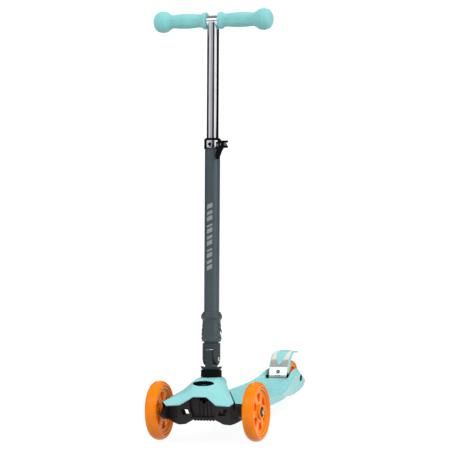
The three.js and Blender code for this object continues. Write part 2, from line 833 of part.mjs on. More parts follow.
// The clamp's cross bolt ends in an eye, and the lever turns on the pin through it.
function clampBolt() {
  const [px, py] = LEVER_PIVOT;
  const shank = rodY(2.4, py + 2, 10, CLAMP_X, CLAMP_S);
  const eye = box([CLAMP_X - 2.4, py - 2.6, 593.1], [px + 2.6, py + 2.6, 597.9]);
  const pin = latheZ(rod(2.6, 588.6, 602.4), 16).translate(px, py, 0);
  return join(shank, eye, pin);
}

const clampNut = () =>
  nut(2.4 + GAP, 4.4, 5 + GAP, 9.4).rotateX(-Math.PI / 2).translate(CLAMP_X, 0, CLAMP_S);

function clampLever() {
  const [px, py] = LEVER_PIVOT;
  const headRadius = 6.4;
  const head = latheZ(rod(headRadius, 588.2, 602.8), 16).translate(px, py, 0);
  const root = box([px - 8, py - 6, 588.2], [px, py - 1, 602.8]);
  const eyeSlot = join(
    box([px, -40, 592.2], [px + 20, 20, 598.8]),
    box([0, py - 4.1, 592.2], [px + 1, 20, 598.8]),
  );
  const path = new THREE.CatmullRomCurve3([
    new THREE.Vector3(px - 5.5, py - 3.6, 592),
    new THREE.Vector3(px - 9, py - 3.6, 583),
    new THREE.Vector3(px - 13, py - 2.6, 574),
    new THREE.Vector3(px - 14.5, py - 1.6, 565.5),
  ]);
  const section = new THREE.Shape();
  section.absellipse(0, 0, 2.4, 5, 0, 2 * Math.PI);
  const arm = new THREE.ExtrudeGeometry(section, { steps: 8, extrudePath: path, curveSegments: 5 });
  const pinHole = latheZ(rod(2.6 + GAP, 580, 610), 16).translate(px, py, 0);
  return cut(join(head, root, arm), eyeSlot, pinHole);
}

// T-bar and grips.

const FOOT_S = 455;
const INNER_TUBE_BORE = 10.4;
const CROSS_TUBE_BORE = 9.4;
const CROSS_TUBE_HALF = 118;

function handlebar() {
  const upright = latheZ(rod(INNER_TUBE_RADIUS, FOOT_S, BAR_S), FINE);
  const cross = rodX(CROSS_TUBE_RADIUS, -CROSS_TUBE_HALF, CROSS_TUBE_HALF, 0, BAR_S, FINE);
  const uprightBore = latheZ(rod(INNER_TUBE_BORE, FOOT_S - 5, BAR_S), FINE);
  const crossBore = rodX(CROSS_TUBE_BORE, -CROSS_TUBE_HALF - 5, CROSS_TUBE_HALF + 5, 0, BAR_S, FINE);
  const pinHole = rodY(3.3, -20, 0, 0, BUTTON_S);
  return cut(join(upright, cross), uprightBore, crossBore, pinHole);
}

function grip(side) {
  const bore = CROSS_TUBE_RADIUS + GAP;
  const made = latheX(
    [
      [0, CROSS_TUBE_HALF + GAP],
      [bore, CROSS_TUBE_HALF + GAP],
      [bore, 12.5],
      [15.5, 12.5],
      [17.5, 14.5],
      [17.3, 20],
      [14.2, 24],
      [13.6, 28],
      [15.4, 44],
      [15.8, 58],
      [15, 76],
      [13.8, 90],
      [17, 93],
      [20.6, 99],
      [22, 107],
      [21.4, 114],
      [18.6, 121],
      [13.5, 125.3],
      [7, BAR_HALF_LENGTH],
      [0, BAR_HALF_LENGTH],
    ],
    24,
  );
  return made.rotateZ(side > 0 ? 0 : Math.PI).translate(0, 0, BAR_S);
}

function tubeFoot() {
  return latheZ([
    [0, FOOT_S - 7],
    [13, FOOT_S - 7],
    [13, FOOT_S - GAP],
    [INNER_TUBE_BORE - GAP, FOOT_S - GAP],
    [INNER_TUBE_BORE - GAP, FOOT_S + 8],
    [0, FOOT_S + 8],
  ]);
}

// The height stop: a bent leaf spring in the T-bar whose pin fills a hole in the tube.
function heightDetent() {
  const leaf = (from, to) => box([-3.5, from, BUTTON_S - 9], [3.5, to, BUTTON_S + 8]);
  const bend = box([-3.5, -9.2, BUTTON_S + 7], [3.5, 9.2, BUTTON_S + 8]);
  const pin = rodY(3, -11.9, -8.6, 0, BUTTON_S, 16);
  return join(leaf(-9.2, -8.2), leaf(8.2, 9.2), bend, pin);
}

function heightButton() {
  const profile = [[0, -19.6], [2.2, -19.4], [BUTTON_RADIUS, -18.4], [BUTTON_RADIUS, -15.1], [0, -15.1]];
  return lathe(profile, 16).translate(0, 0, BUTTON_S);
}

// Assembly. The chassis is drawn with its origin on the ground under the front axle.

const group = new THREE.Group();
const chassis = new THREE.Group();
chassis.position.y = -(WHEELBASE + REAR_WHEEL_RADIUS - FRONT_WHEEL_RADIUS) / 2;
group.add(chassis);

const stem = new THREE.Group();
stem.position.y = STEM_FOOT_Y;
stem.rotation.x = -STEM_RAKE;
chassis.add(stem);

chassis.add(
  part("deck", deck(), "mintPlastic"),
  part("front_hood", frontHood(), "mintPlastic"),
  part("hood_oval_insert", hoodOvalInsert(), "blackPlastic"),
  part("nose_mount", noseMount(), "blackPlastic"),
  part("kingpin", kingpin(), "steel"),
  part("kingpin_nut", kingpinNut(), "steel"),
  part("steer_bush", steerBush(), "blackPlastic"),
  part("truck", truck(), "blackPlastic"),
  part("front_axle_bolt_left", frontAxleBolt(1), "chrome"),
  part("front_axle_bolt_right", frontAxleBolt(-1), "chrome"),
  frontWheel(1, "left"),
  frontWheel(-1, "right"),
  rearWheel(),
  part("rear_axle", rearAxle(), "steel"),
  part("rear_axle_nut", rearAxleNut(), "steel"),
  part("rear_spacer_left", rearSpacer(1), "steel"),
  part("rear_spacer_right", rearSpacer(-1), "steel"),
  part("brake_fender", brakeFender(), "mintPlastic"),
  part("fender_pad", fenderPad(), "greyPad"),
  part("brake_plate", brakePlate(), "steel"),
  part("plate_rivet", plateRivet(), "steel"),
  part("brake_hinge_pin", brakeHingePin(), "steel"),
  part("brake_bush_left", brakeBush(1), "blackPlastic"),
  part("brake_bush_right", brakeBush(-1), "blackPlastic"),
  part("brake_spring", brakeSpring(), "steel"),
);

stem.add(
  part("hinge_base", hingeBase(), "greyPlastic"),
  part("base_ring", baseRing(), "blackPlastic"),
  part("hinge_head", hingeHead(), "greyPlastic"),
  part("fold_bolt", foldBolt(), "chrome"),
  part("fold_nut", foldNut(), "chrome"),
  part("outer_tube", outerTube(), "greyPaint"),
  part("lock_sleeve", lockSleeve(), "greyPlastic"),
  part("sleeve_bolt", sleeveBolt(), "chrome"),
  part("lock_plunger", lockPlunger(), "steel"),
  part("lock_spring", lockSpring(), "steel"),
  part("guide_bush", guideBush(), "blackPlastic"),
  part("clamp_collar", clampCollar(), "chrome"),
  part("clamp_bolt", clampBolt(), "steel"),
  part("clamp_nut", clampNut(), "steel"),
  part("clamp_lever", clampLever(), "blackPlastic"),
  part("height_button", heightButton(), "blackPlastic"),
  part("height_detent", heightDetent(), "steel"),
  part("handlebar", handlebar(), "chrome"),
  part("tube_foot", tubeFoot(), "blackPlastic"),
  part("grip_left", grip(1), "mintRubber"),
  part("grip_right", grip(-1), "mintRubber"),
);

export default group;
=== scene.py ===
import bisect
import json
import math

import bmesh
import bpy
from mathutils import Matrix, Vector


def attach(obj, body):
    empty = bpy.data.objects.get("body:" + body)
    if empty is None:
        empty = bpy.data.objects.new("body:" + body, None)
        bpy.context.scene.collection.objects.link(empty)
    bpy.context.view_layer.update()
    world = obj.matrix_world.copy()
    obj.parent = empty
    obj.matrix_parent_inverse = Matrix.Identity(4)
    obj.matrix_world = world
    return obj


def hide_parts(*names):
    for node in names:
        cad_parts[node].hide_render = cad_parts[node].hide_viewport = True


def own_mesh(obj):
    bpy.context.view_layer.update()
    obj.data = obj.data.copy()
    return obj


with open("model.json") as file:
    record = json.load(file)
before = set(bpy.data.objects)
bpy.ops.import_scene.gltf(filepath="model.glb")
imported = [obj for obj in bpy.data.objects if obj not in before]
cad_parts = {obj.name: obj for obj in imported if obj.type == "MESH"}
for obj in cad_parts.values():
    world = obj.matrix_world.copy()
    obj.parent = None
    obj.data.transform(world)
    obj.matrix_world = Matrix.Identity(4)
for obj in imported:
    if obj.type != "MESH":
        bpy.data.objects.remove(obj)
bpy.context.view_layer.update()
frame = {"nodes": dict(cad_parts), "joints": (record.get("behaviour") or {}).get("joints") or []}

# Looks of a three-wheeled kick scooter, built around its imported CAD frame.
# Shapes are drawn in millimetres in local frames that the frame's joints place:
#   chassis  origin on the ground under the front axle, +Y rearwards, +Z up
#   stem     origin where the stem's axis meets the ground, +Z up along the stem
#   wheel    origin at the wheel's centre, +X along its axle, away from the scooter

JOINTS = {joint["name"]: joint for joint in frame["joints"]}
NODES = frame["nodes"]
MM = Matrix.Scale(0.001, 4)

KINGPIN_TOP = Vector(JOINTS["truck_steer"]["pos_m"])
KINGPIN_AXIS = Vector(JOINTS["truck_steer"]["axis"]).normalized()
FRONT_AXLE = Vector(JOINTS["wheel_left_spin"]["pos_m"])
REAR_AXLE = Vector(JOINTS["wheel_rear_spin"]["pos_m"])
BRAKE_PIN = Vector(JOINTS["brake_press"]["pos_m"])
FOLD_PIN = Vector(JOINTS["stem_fold"]["pos_m"])
STEM_AXIS = Vector(JOINTS["bar_height"]["axis"]).normalized()


def facing(origin, up):
    """The matrix of a frame whose Z is up and whose X is the scooter's."""
    across = Vector((1, 0, 0))
    turned = Matrix((across, up.cross(across), up)).transposed().to_4x4()
    turned.translation = origin
    return turned


def local_frame(origin, up=Vector((0, 0, 1))):
    """The matrix of a frame that is drawn in millimetres."""
    return facing(origin, up) @ MM


CHASSIS = local_frame(Vector((0, FRONT_AXLE.y, 0)))
STEM_FOOT = FOLD_PIN - STEM_AXIS * (FOLD_PIN.z / STEM_AXIS.z)
STEM = local_frame(STEM_FOOT, STEM_AXIS)
KINGPIN = local_frame(KINGPIN_TOP, KINGPIN_AXIS)

TO_X = Matrix.Rotation(math.radians(90), 4, "Y")  # lays a piece that stands along Z along X
TO_Y = Matrix.Rotation(math.radians(-90), 4, "X")
FACE = {1: Matrix.Identity(4), -1: Matrix.Rotation(math.radians(180), 4, "Z")}  # to face -X with -1
SIDES = ((1, "left"), (-1, "right"))
UP = Vector((0, 0, 1))
PIN_BORE = 4.3  # radius of the holes for the 8 mm axles and pins


def raised(height):
    return Matrix.Translation((0, 0, height))


def in_frame(matrix, point):
    """A point of the shared frame, in millimetres of a local frame."""
    return matrix.inverted() @ Vector(point)


def reach(node, matrix, axis=2):
    """How far a CAD node reaches along an axis of a local frame, as (lowest, highest) in millimetres."""
    inverse = matrix.inverted()
    places = [(inverse @ vertex.co)[axis] for vertex in NODES[node].data.vertices]
    return min(places), max(places)


# Mesh helpers


def add_object(name, data):
    made = bpy.data.objects.new(name, data)
    bpy.context.scene.collection.objects.link(made)
    return made


def mesh_object(name, points, faces):
    mesh = bpy.data.meshes.new(name)
    mesh.from_pydata([tuple(p) for p in points], [], faces)
    made = add_object(name, mesh)
    clean(made)
    return made


def clean(made, distance=1e-4):
    """Merges doubled points and turns every face outwards."""
    work = bmesh.new()
    work.from_mesh(made.data)
    bmesh.ops.remove_doubles(work, verts=work.verts, dist=distance)
    bmesh.ops.dissolve_degenerate(work, edges=work.edges, dist=distance)
    bmesh.ops.recalc_face_normals(work, faces=work.faces)
    work.to_mesh(made.data)
    work.free()


def loft(name, rings, wrap=False):
    """A closed mesh through rings of points. With wrap the last ring joins the first."""
    size, count = len(rings[0]), len(rings)
    points = [p for ring in rings for p in ring]
    faces = []
    for r in range(count if wrap else count - 1):
        low, high = r * size, ((r + 1) % count) * size
        faces += [(low + i, low + (i + 1) % size, high + (i + 1) % size, high + i) for i in range(size)]
    if not wrap:
        faces += [tuple(range(size)), tuple(range((count - 1) * size, count * size))]
    return mesh_object(name, points, faces)


def around(count, shift=0):
    """Angles spread evenly round a circle."""
    return [2 * math.pi * (i + shift) / count for i in range(count)]


def circle_ring(radius, height, sides, shape=None):
    """A ring of points around Z. shape(angle, height) changes the radius."""
    ring = []
    for angle in around(sides):
        r = radius + (shape(angle, height) if shape else 0)
        ring.append(Vector((r * math.cos(angle), r * math.sin(angle), height)))
    return ring


def oval_ring(centre, across, along, half_across, half_along, sides):
    """A ring of points round a centre, in the plane of two directions."""
    return [
        centre + across * half_across * math.cos(angle) + along * half_along * math.sin(angle)
        for angle in around(sides)
    ]


def lathe(name, profile, sides=64, turn=None):
    """A turned piece around Z. The profile of (radius, height) is closed, or starts and ends on the axis."""
    wrap = profile[0] == profile[-1]
    rows = profile[:-1] if wrap else profile
    rings = [circle_ring(r, h, sides) for r, h in rows]
    made = loft(name, rings, wrap)
    if turn is not None:
        made.data.transform(turn)
    return made


def rod(radius, low, high, edge=0.0):
    """The profile of a plain rod, with its ends chamfered by edge."""
    side = [(radius - edge, low), (radius, low + edge), (radius, high - edge), (radius - edge, high)]
    return [(0, low), *side, (0, high)]


def washer(inner, outer, low, high):
    return [(inner, low), (outer, low), (outer, high), (inner, high), (inner, low)]


def prism(name, outline, low, high, axis="z"):
    """A straight extrusion of an outline along x, y or z."""
    order = {
        "x": lambda a, b, h: (h, a, b),
        "y": lambda a, b, h: (a, h, b),
        "z": lambda a, b, h: (a, b, h),
    }[axis]
    return loft(name, [[Vector(order(a, b, h)) for a, b in outline] for h in (low, high)])


def block(name, low, high):
    corners = [(low[0], low[1]), (high[0], low[1]), (high[0], high[1]), (low[0], high[1])]
    return prism(name, corners, low[2], high[2])


def on_side(side, near, far):
    """The x range from near to far of the middle, on the side that is 1 or -1."""
    return sorted((side * near, side * far))


def side_block(name, side, low, high):
    """A block whose x range is measured from the middle, on one side."""
    near, far = on_side(side, low[0], high[0])
    return block(name, (near, *low[1:]), (far, *high[1:]))


def ellipse(half_a, half_b, sides=48):
    return [(half_a * math.cos(angle), half_b * math.sin(angle)) for angle in around(sides)]


def arc(cx, cy, radius, start, end, steps):
    """Points of an outline on an arc between two angles in degrees."""
    angles = [math.radians(start + (end - start) * i / steps) for i in range(steps + 1)]
    return [(cx + radius * math.cos(angle), cy + radius * math.sin(angle)) for angle in angles]


def rounded(corners, radius, steps=5):
    """An outline with each corner rounded off."""
    made = []
    for i, corner in enumerate(corners):
        here = Vector(corner)
        before, after = Vector(corners[i - 1]) - here, Vector(corners[(i + 1) % len(corners)]) - here
        cut = min(radius, before.length * 0.45, after.length * 0.45)
        start, end = here + before.normalized() * cut, here + after.normalized() * cut
        for k in range(steps + 1):
            t = k / steps
            point = start * (1 - t) ** 2 + here * 2 * t * (1 - t) + end * t * t
            made.append((point.x, point.y))
    return made


def mirrored(half):
    """A whole outline from its right half, which runs from the centre line outwards and back."""
    return [*half, *((-x, b) for x, b in reversed(half))]


def smooth_path(points, count):
    """Points on a smooth line through the given ones."""
    line = [Vector(p) for p in points]
    line = [2 * line[0] - line[1], *line, 2 * line[-1] - line[-2]]
    made = []
    for k in range(count):
        t = k / (count - 1) * (len(points) - 1)
        i = min(int(t), len(points) - 2)
        f = t - i
        a, b, c, d = line[i : i + 4]
        cubic = (3 * b - a - 3 * c + d) * f**3
        made.append(0.5 * (2 * b + (c - a) * f + (2 * a - 5 * b + 4 * c - d) * f**2 + cubic))
    return made


def level(points):
    """A smooth function through (place, value) points that doesn't overshoot them."""
    xs, ys = zip(*points)
    rises = [(ys[i + 1] - ys[i]) / (xs[i + 1] - xs[i]) for i in range(len(xs) - 1)]
    inner = [0 if a * b <= 0 else 2 * a * b / (a + b) for a, b in zip(rises, rises[1:])]
    slopes = [rises[0], *inner, rises[-1]]

    def value(x):
        if x <= xs[0] or x >= xs[-1]:
            return ys[0] if x <= xs[0] else ys[-1]
        i = bisect.bisect_right(xs, x) - 1
        width = xs[i + 1] - xs[i]
        t = (x - xs[i]) / width
        first = (1 + 2 * t) * (1 - t) ** 2 * ys[i] + t * (1 - t) ** 2 * width * slopes[i]
        return first + t * t * (3 - 2 * t) * ys[i + 1] + t * t * (t - 1) * width * slopes[i + 1]

    return value


def ease(t):
    """A smooth step from 0 to 1."""
    t = min(max(t, 0), 1)
    return t * t * (3 - 2 * t)


def bake(made):
    """Applies an object's modifiers."""
    graph = bpy.context.evaluated_depsgraph_get()
    mesh = bpy.data.meshes.new_from_object(made.evaluated_get(graph))
    made.modifiers.clear()
    made.data = mesh


def combine(operation, base, others):
    for other in others:
        step = base.modifiers.new(operation, "BOOLEAN")
        step.operation = operation
        step.solver = "EXACT"
        step.object = other
        bake(base)
        bpy.data.objects.remove(other)
    return base


def carve(base, *tools):
    return combine("DIFFERENCE", base, tools)


def unite(base, *others):
    return combine("UNION", base, others)


def common(base, *others):
    return combine("INTERSECT", base, others)


def close_cracks(made):
    """Fills the sliver holes, of up to four sides, that cutting and rounding leave."""
    work = bmesh.new()
    work.from_mesh(made.data)
    open_edges = [edge for edge in work.edges if edge.is_boundary]
    bmesh.ops.holes_fill(work, edges=open_edges, sides=4)
    work.to_mesh(made.data)
    work.free()


def bevel(made, width, segments, angle):
    """Rounds off the edges that are sharper than the angle."""
    step = made.modifiers.new("soften", "BEVEL")
    step.width = width
    step.segments = segments
    step.limit_method = "ANGLE"
    step.angle_limit = math.radians(angle)


def soften(made, width, segments=3, angle=32):
    bevel(made, width, segments, angle)
    bake(made)
    return made


def even_normals(made):
    step = made.modifiers.new("normals", "WEIGHTED_NORMAL")
    step.keep_sharp = True


def shade(made, angle=38):
    made.data.polygons.foreach_set("use_smooth", [True] * len(made.data.polygons))
    made.data.set_sharp_from_angle(angle=math.radians(angle))
    even_normals(made)


def two_tone(made, first, second, is_second):
    """Gives a piece two finishes. is_second tells the second one's faces by their middles."""
    for finish in (first, second):
        made.data.materials.append(FINISHES[finish])
    for polygon in made.data.polygons:
        polygon.material_index = int(is_second(polygon.center))


def place(made, matrix, body, slot, *nodes, finish=None):
    """Puts a finished piece in its place on a body, and hides the CAD nodes that it stands for."""
    clean(made)
    made.data.transform(matrix)
    if not made.data.materials:
        made.data.materials.append(FINISHES[finish or slot])
    shade(made)
    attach(made, body)
    if nodes:
        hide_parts(*nodes)
    return made


# Materials


class Graph:
    """A small helper for writing a material's nodes."""

    def __init__(self, name):
        self.material = bpy.data.materials.new(name)
        self.material.use_nodes = True
        self.nodes = self.material.node_tree.nodes
        self.links = self.material.node_tree.links
        self.shader = self.nodes["Principled BSDF"]
        self.place = self.nodes.new("ShaderNodeTexCoord").outputs["Object"]

    def feed(self, socket, value, node=None):
        """Sets a socket of a node, or of the shader, to a constant or to another node's output."""
        target = (node or self.shader).inputs[socket]
        if hasattr(value, "is_linked"):
            self.links.new(value, target)
        else:
            target.default_value = value

    def add(self, kind, values):
        node = self.nodes.new(kind)
        for socket, value in values.items():
            self.feed(socket, value, node)
        return node

    def height(self):
        return self.add("ShaderNodeSeparateXYZ", {"Vector": self.place}).outputs["Z"]

    def noise(self, scale, detail=3.0, rough=0.5):
        values = {"Vector": self.place, "Scale": scale, "Detail": detail, "Roughness": rough}
        return self.add("ShaderNodeTexNoise", values).outputs["Fac"]

    def ramp(self, value, stops):
        node = self.add("ShaderNodeValToRGB", {"Fac": value})
        while len(node.color_ramp.elements) < len(stops):
            node.color_ramp.elements.new(0.5)
        for element, (at, colour) in zip(node.color_ramp.elements, stops):
            element.position = at
            element.color = (*colour, 1)
        return node.outputs["Color"]

    def span(self, value, low, high, start=0.3, end=0.7):
        """Maps start to low and end to high."""
        values = {"Value": value, "From Min": start, "From Max": end, "To Min": low, "To Max": high}
        return self.add("ShaderNodeMapRange", values).outputs["Result"]

    def bump(self, height, strength, distance):
        """Adds bumps on top of those already there."""
        values = {"Height": height, "Strength": strength, "Distance": distance}
        earlier = self.shader.inputs["Normal"].links
        if earlier:
            values["Normal"] = earlier[0].from_socket
        self.feed("Normal", self.add("ShaderNodeBump", values).outputs["Normal"])

    def drift(self, colour, darker, lighter, scale, detail, start=0.3, end=0.7):
        """A base colour that wanders between a darker and a lighter share of itself."""
        stops = [(start, tinted(colour, darker)), (end, tinted(colour, lighter))]
        self.feed("Base Color", self.ramp(self.noise(scale, detail), stops))

    def gloss(self, low, high, scale, detail, rough=0.5):
        """A roughness that wanders between two values."""
        self.feed("Roughness", self.span(self.noise(scale, detail, rough), low, high))


def tinted(colour, share):
    return tuple(min(1.0, max(0.0, c * share)) for c in colour)


def moulded(name, colour, roughness, variation=0.04, grain=0.25, grain_scale=1400.0, specular=0.5):
    """Injection-moulded plastic: slow colour drift, fine grain, uneven gloss."""
    graph = Graph(name)
    graph.drift(colour, 1 - variation, 1 + variation, 9, 4)
    graph.gloss(roughness - 0.05, roughness + 0.07, 60, 5, 0.6)
    graph.feed("Specular IOR Level", specular)
    graph.bump(graph.noise(grain_scale, 2), grain, 0.00005)
    graph.bump(graph.noise(35, 3), 0.12, 0.0006)
    return graph.material


def mint_rubber():
    graph = Graph("mint_rubber")
    graph.drift((0.218, 0.600, 0.606), 0.94, 1.06, 25, 5)
    graph.gloss(0.52, 0.68, 180, 4)
    graph.feed("Sheen Weight", 0.1)
    graph.feed("Sheen Roughness", 0.5)
    graph.bump(graph.noise(2200, 2), 0.35, 0.00006)
    return graph.material


def orange(name, colour, roughness):
    """Clear cast polyurethane: deep colour with a wet gloss."""
    graph = Graph(name)
    graph.drift(colour, 0.90, 1.08, 38, 4, 0.25, 0.75)
    graph.gloss(roughness - 0.04, roughness + 0.08, 130, 4)
    graph.feed("Specular IOR Level", 0.05)
    graph.feed("Coat Weight", 0.30)
    graph.feed("Coat Roughness", 0.08)
    graph.bump(graph.noise(90, 3), 0.10, 0.0006)
    return graph.material


def metal(name, colour, roughness, spread=0.12, strength=0.12):
    graph = Graph(name)
    graph.drift(colour, 0.96, 1.03, 30, 4)
    graph.feed("Metallic", 1.0)
    graph.gloss(roughness, roughness + spread, 110, 4)
    graph.bump(graph.noise(700, 2), strength, 0.00003)
    return graph.material


def powder_coat(name, colour, roughness, variation=0.05):
    """Sprayed paint with a fine orange-peel surface."""
    graph = Graph(name)
    graph.drift(colour, 1 - variation, 1 + variation, 14, 4)
    graph.gloss(roughness - 0.05, roughness + 0.05, 80, 4)
    graph.feed("Coat Weight", 0.15)
    graph.feed("Coat Roughness", 0.3)
    graph.bump(graph.noise(520, 3), 0.22, 0.00008)
    return graph.material


def textured_pad():
    """Grip rubber, speckled, darker towards its lower end."""
    graph = Graph("grey_pad")
    low, high = (fender_height(share) for share in (0.30, 0.36))
    wobble = graph.noise(900, 2)
    speckle = graph.ramp(wobble, [(0.42, (0.30, 0.27, 0.235)), (0.60, (0.47, 0.44, 0.39))])
    pale = graph.ramp(wobble, [(0.38, (0.60, 0.58, 0.55)), (0.66, (0.74, 0.73, 0.71))])
    mix = graph.nodes.new("ShaderNodeMix")
    mix.data_type = "RGBA"
    graph.feed("Factor", graph.span(graph.height(), 0, 1, low, high), mix)
    graph.feed(6, speckle, mix)  # the two colour inputs, and then the colour output
    graph.feed(7, pale, mix)
    graph.feed("Base Color", mix.outputs[2])
    graph.gloss(0.66, 0.86, 300, 3)
    graph.bump(graph.noise(1100, 3, 0.6), 0.6, 0.0003)
    return graph.material


# The fender's outer line from the side, as y and z in the chassis frame, from the pin rearwards.
FENDER_POINTS = [
    (451.5, 58), (457, 70), (465, 81.5), (475, 90.5), (487, 95.8), (500, 97), (513, 95.6), (526, 93),
]
FENDER_LINE = smooth_path(FENDER_POINTS, 57)


def fender_height(share):
    """How high a point of the fender's line is above the floor, in metres."""
    return FENDER_LINE[round(share * (len(FENDER_LINE) - 1))].y * 0.001


FINISHES = {
    "mint_plastic": moulded("mint_plastic", (0.262, 0.628, 0.634), 0.34, 0.03),
    "mint_rubber": mint_rubber(),
    "orange_tyre": orange("orange_tyre", (0.94, 0.228, 0.001), 0.20),
    "orange_core": orange("orange_core", (0.98, 0.250, 0.002), 0.26),
    # A deeper copy of the core's orange: painted shade for the wheel's pockets.
    "orange_pocket_shade": orange("orange_pocket_shade", (1.00, 0.190, 0.001), 0.34),
    "black_plastic": moulded("black_plastic", (0.0025, 0.0025, 0.0025), 0.5, 0.15, 0.4, specular=0.06),
    "black_casting": moulded("black_casting", (0.017, 0.0140, 0.0132), 0.52, 0.2, 0.6, 900.0, 0.3),
    "grey_plastic": moulded("grey_plastic", (0.043, 0.065, 0.073), 0.38, 0.06, 0.35, specular=0.4),
    "grey_casting": moulded("grey_casting", (0.024, 0.036, 0.041), 0.42, 0.06, 0.35, specular=0.3),
    "grey_paint": powder_coat("grey_paint", (0.038, 0.061, 0.073), 0.42),
    # Pale paint for the stem's printed bars, and for the painted highlight strip on the hinge's tongue.
    "pale_print_and_highlight": powder_coat("pale_print_and_highlight", (0.25, 0.27, 0.28), 0.5),
    "chrome": metal("chrome", (0.82, 0.82, 0.84), 0.02, 0.02, 0.05),
    "steel": metal("steel", (0.52, 0.53, 0.55), 0.26),
    "dark_steel": metal("dark_steel", (0.10, 0.10, 0.11), 0.32),
    "white_plate": powder_coat("white_plate", (0.985, 0.985, 0.985), 0.32, variation=0.01),
    "grey_pad": textured_pad(),
}

# Deck

DECK_FRONT, DECK_END = 50.0, 522.4
FORK_SLOT = (26.3, 443.0)  # half width, front end
# Each of these gives a measure of the deck's section by its distance behind the front axle.
DECK_HALF = level(
    [(50, 46), (55, 54), (66, 57), (100, 60), (170, 64), (290, 64)]
    + [(350, 56), (408, 46), (442, 39.5), (470, 38), (522, 37)]
)
DECK_TOP = level([(50, 61), (110, 57.5), (200, 53.5), (340, 49.5), (455, 47), (523, 47)])
DECK_RIM = level(
    [(50, 60), (110, 57), (200, 53.2), (340, 49.3), (392, 50.8), (427, 55), (452, 60.4), (478, 63.6)]
    + [(495, 53.5), (506, 46.7), (514, 41.4), (518.5, 38.6), (521.2, 35.6), (522.4, 32.4)]
)
DECK_BOTTOM = level(
    [(50, 56), (80, 50), (110, 44), (220, 31), (350, 26.5), (384, 21), (408, 16.5), (430, 13.8)]
    + [(455, 12), (484, 12.2), (502, 13.2), (511, 15), (517, 18), (521, 22.2), (522.4, 25.4)]
)
RIDGES = 20
RIDGE_HEIGHT = 1.1
RIDGE_SHAPE = [(-0.30, 0), (-0.15, 1), (0.15, 1), (0.30, 0)]  # places in one pitch, and lifts


def ridge_columns():
    """Places across the deck's top from -1 to 1, each with its share of the ridges' height."""
    pitch = 2 / RIDGES
    centres = [-1 + (i + 0.5) * pitch for i in range(RIDGES)]
    return [(-1, 0), *((c + a * pitch, lift) for c in centres for a, lift in RIDGE_SHAPE), (1, 0)]


def deck_section(y, columns):
    """The deck's outline across the scooter at one place, as points that turn anticlockwise."""
    half, rim, bottom = DECK_HALF(y), DECK_RIM(y), DECK_BOTTOM(y)
    centre = min(DECK_TOP(y), rim)
    height = rim - bottom
    roll, foot, draft = min(8, 0.45 * height), min(2.5, 0.25 * height), min(4, 0.12 * height)
    shoulder = half - roll
    fade = ease((y - 64) / 12) * ease((500 - y) / 30)
    level_half = 13 + 11 * ease((y - 380) / 50)

    def top(x):
        return centre + (rim - centre) * ease((abs(x) - level_half) / (shoulder - level_half))

    right = [
        *arc(half - draft - foot, bottom + foot, foot, -90, 0, 3),
        *((half - draft * (1 - k / 4), bottom + foot + (height - foot - roll) * k / 4) for k in range(1, 4)),
        *arc(shoulder, rim - roll, roll, 0, 80, 6),
    ]
    across = [(-u * shoulder, top(u * shoulder) + lift * RIDGE_HEIGHT * fade) for u, lift in columns]
    left = [(-x, z) for x, z in reversed(right)]
    return [Vector((x, y, z)) for x, z in [*right, *across, *left]]


# Rows of open cells under the deck: front, back, half width, top.
DECK_CELLS = [
    (130, 186, 54, 50), (189, 245, 56, 47), (248, 304, 56, 45.5), (307, 350, 48, 44), (353, 400, 36, 43),
]


def deck_cells():
    """Open cells under the deck, which leave its ribs standing."""
    rib, columns = 3, 4
    for front, back, half, top in DECK_CELLS:
        width = (2 * half - rib * (columns - 1)) / columns
        for i in range(columns):
            left = -half + i * (width + rib)
            yield block("cell", (left, front, 0), (left + width, back, top))


def deck():
    columns = ridge_columns()
    steps = 96
    length = DECK_END - DECK_FRONT
    places = [DECK_FRONT + length * math.sin(math.pi / 2 * i / steps) for i in range(steps + 1)]
    places = sorted({*places, DECK_FRONT + 0.6, DECK_FRONT + 1.6, DECK_FRONT + 3.2})
    made = loft("deck_shell", [deck_section(y, columns) for y in places])
    half, front = FORK_SLOT
    slot = rounded([(-half, front), (half, front), (half, 600), (-half, 600)], 2.5)
    mount = block("mount_slot", (-22, 30, 0), (22, 126, 52.8))
    axle = Matrix.Translation(in_frame(CHASSIS, REAR_AXLE))
    seats = []
    for side in (-1, 1):
        seats.append(lathe("seat", rod(8, 33, 70), 40, axle @ FACE[side] @ TO_X))
        seats.append(side_block("nose_cell", side, (26, 64, 0), (50, 126, 51)))
    seats.append(lathe("axle_hole", rod(PIN_BORE, -60, 60), 24, axle @ TO_X))
    carve(made, prism("slot", slot, -10, 110), mount, *seats, *deck_cells())
    soften(made, 1.0, 3, 50)
    close_cracks(made)
    place(made, CHASSIS, "deck", "mint_plastic", "deck")
    # Black domes in the round axle seats: painted shade for the dark inside of each seat.
    dome = [(0, 33.6), (6.9, 33.6), (7.1, 34.4), (6.6, 36.2), (4, 36.9), (0, 37)]
    for side, name in SIDES:
        cap = lathe(f"axle_seat_shade_cap_{name}", dome, 40)
        place(cap, CHASSIS @ axle @ FACE[side] @ TO_X, "deck", "black_plastic")


# Front hood

HOOD_ROWS = [
    [(0, 60, 120.5), (15, 59, 120), (21, 56, 117), (25.5, 51, 112)],
    [(0, 9, 129), (22, 9, 128.5), (31, 12, 122), (38, 15, 113)],
    [(0, -17, 120), (21, -17, 119.5), (36, -13, 111), (51, -6, 102)],
    [(0, -36, 109.5), (18, -36, 109), (43, -38, 98), (75, -52, 88)],
    [(0, -44, 97), (14, -44, 97), (39, -58.5, 84), (67, -58.5, 82)],
]
HOOD_THICKNESS = 3.0
RING_SKIRT = 3.4  # how far the collar ring sinks into the hood
OVAL_HALF = (22.5, 9.4)


def hood_crease(first, second, columns):
    """How sharp the hood stays along the edge between two of its corners."""
    (row_a, col_a), (row_b, col_b) = sorted((divmod(first, columns), divmod(second, columns)))
    middle = columns // 2
    if col_a == col_b and abs(col_a - middle) in (1, 2):
        return 0.95 if row_b > 3 else 0.85
    if row_a == row_b and row_a in (2, 3):
        return 0.8
    return 0.0


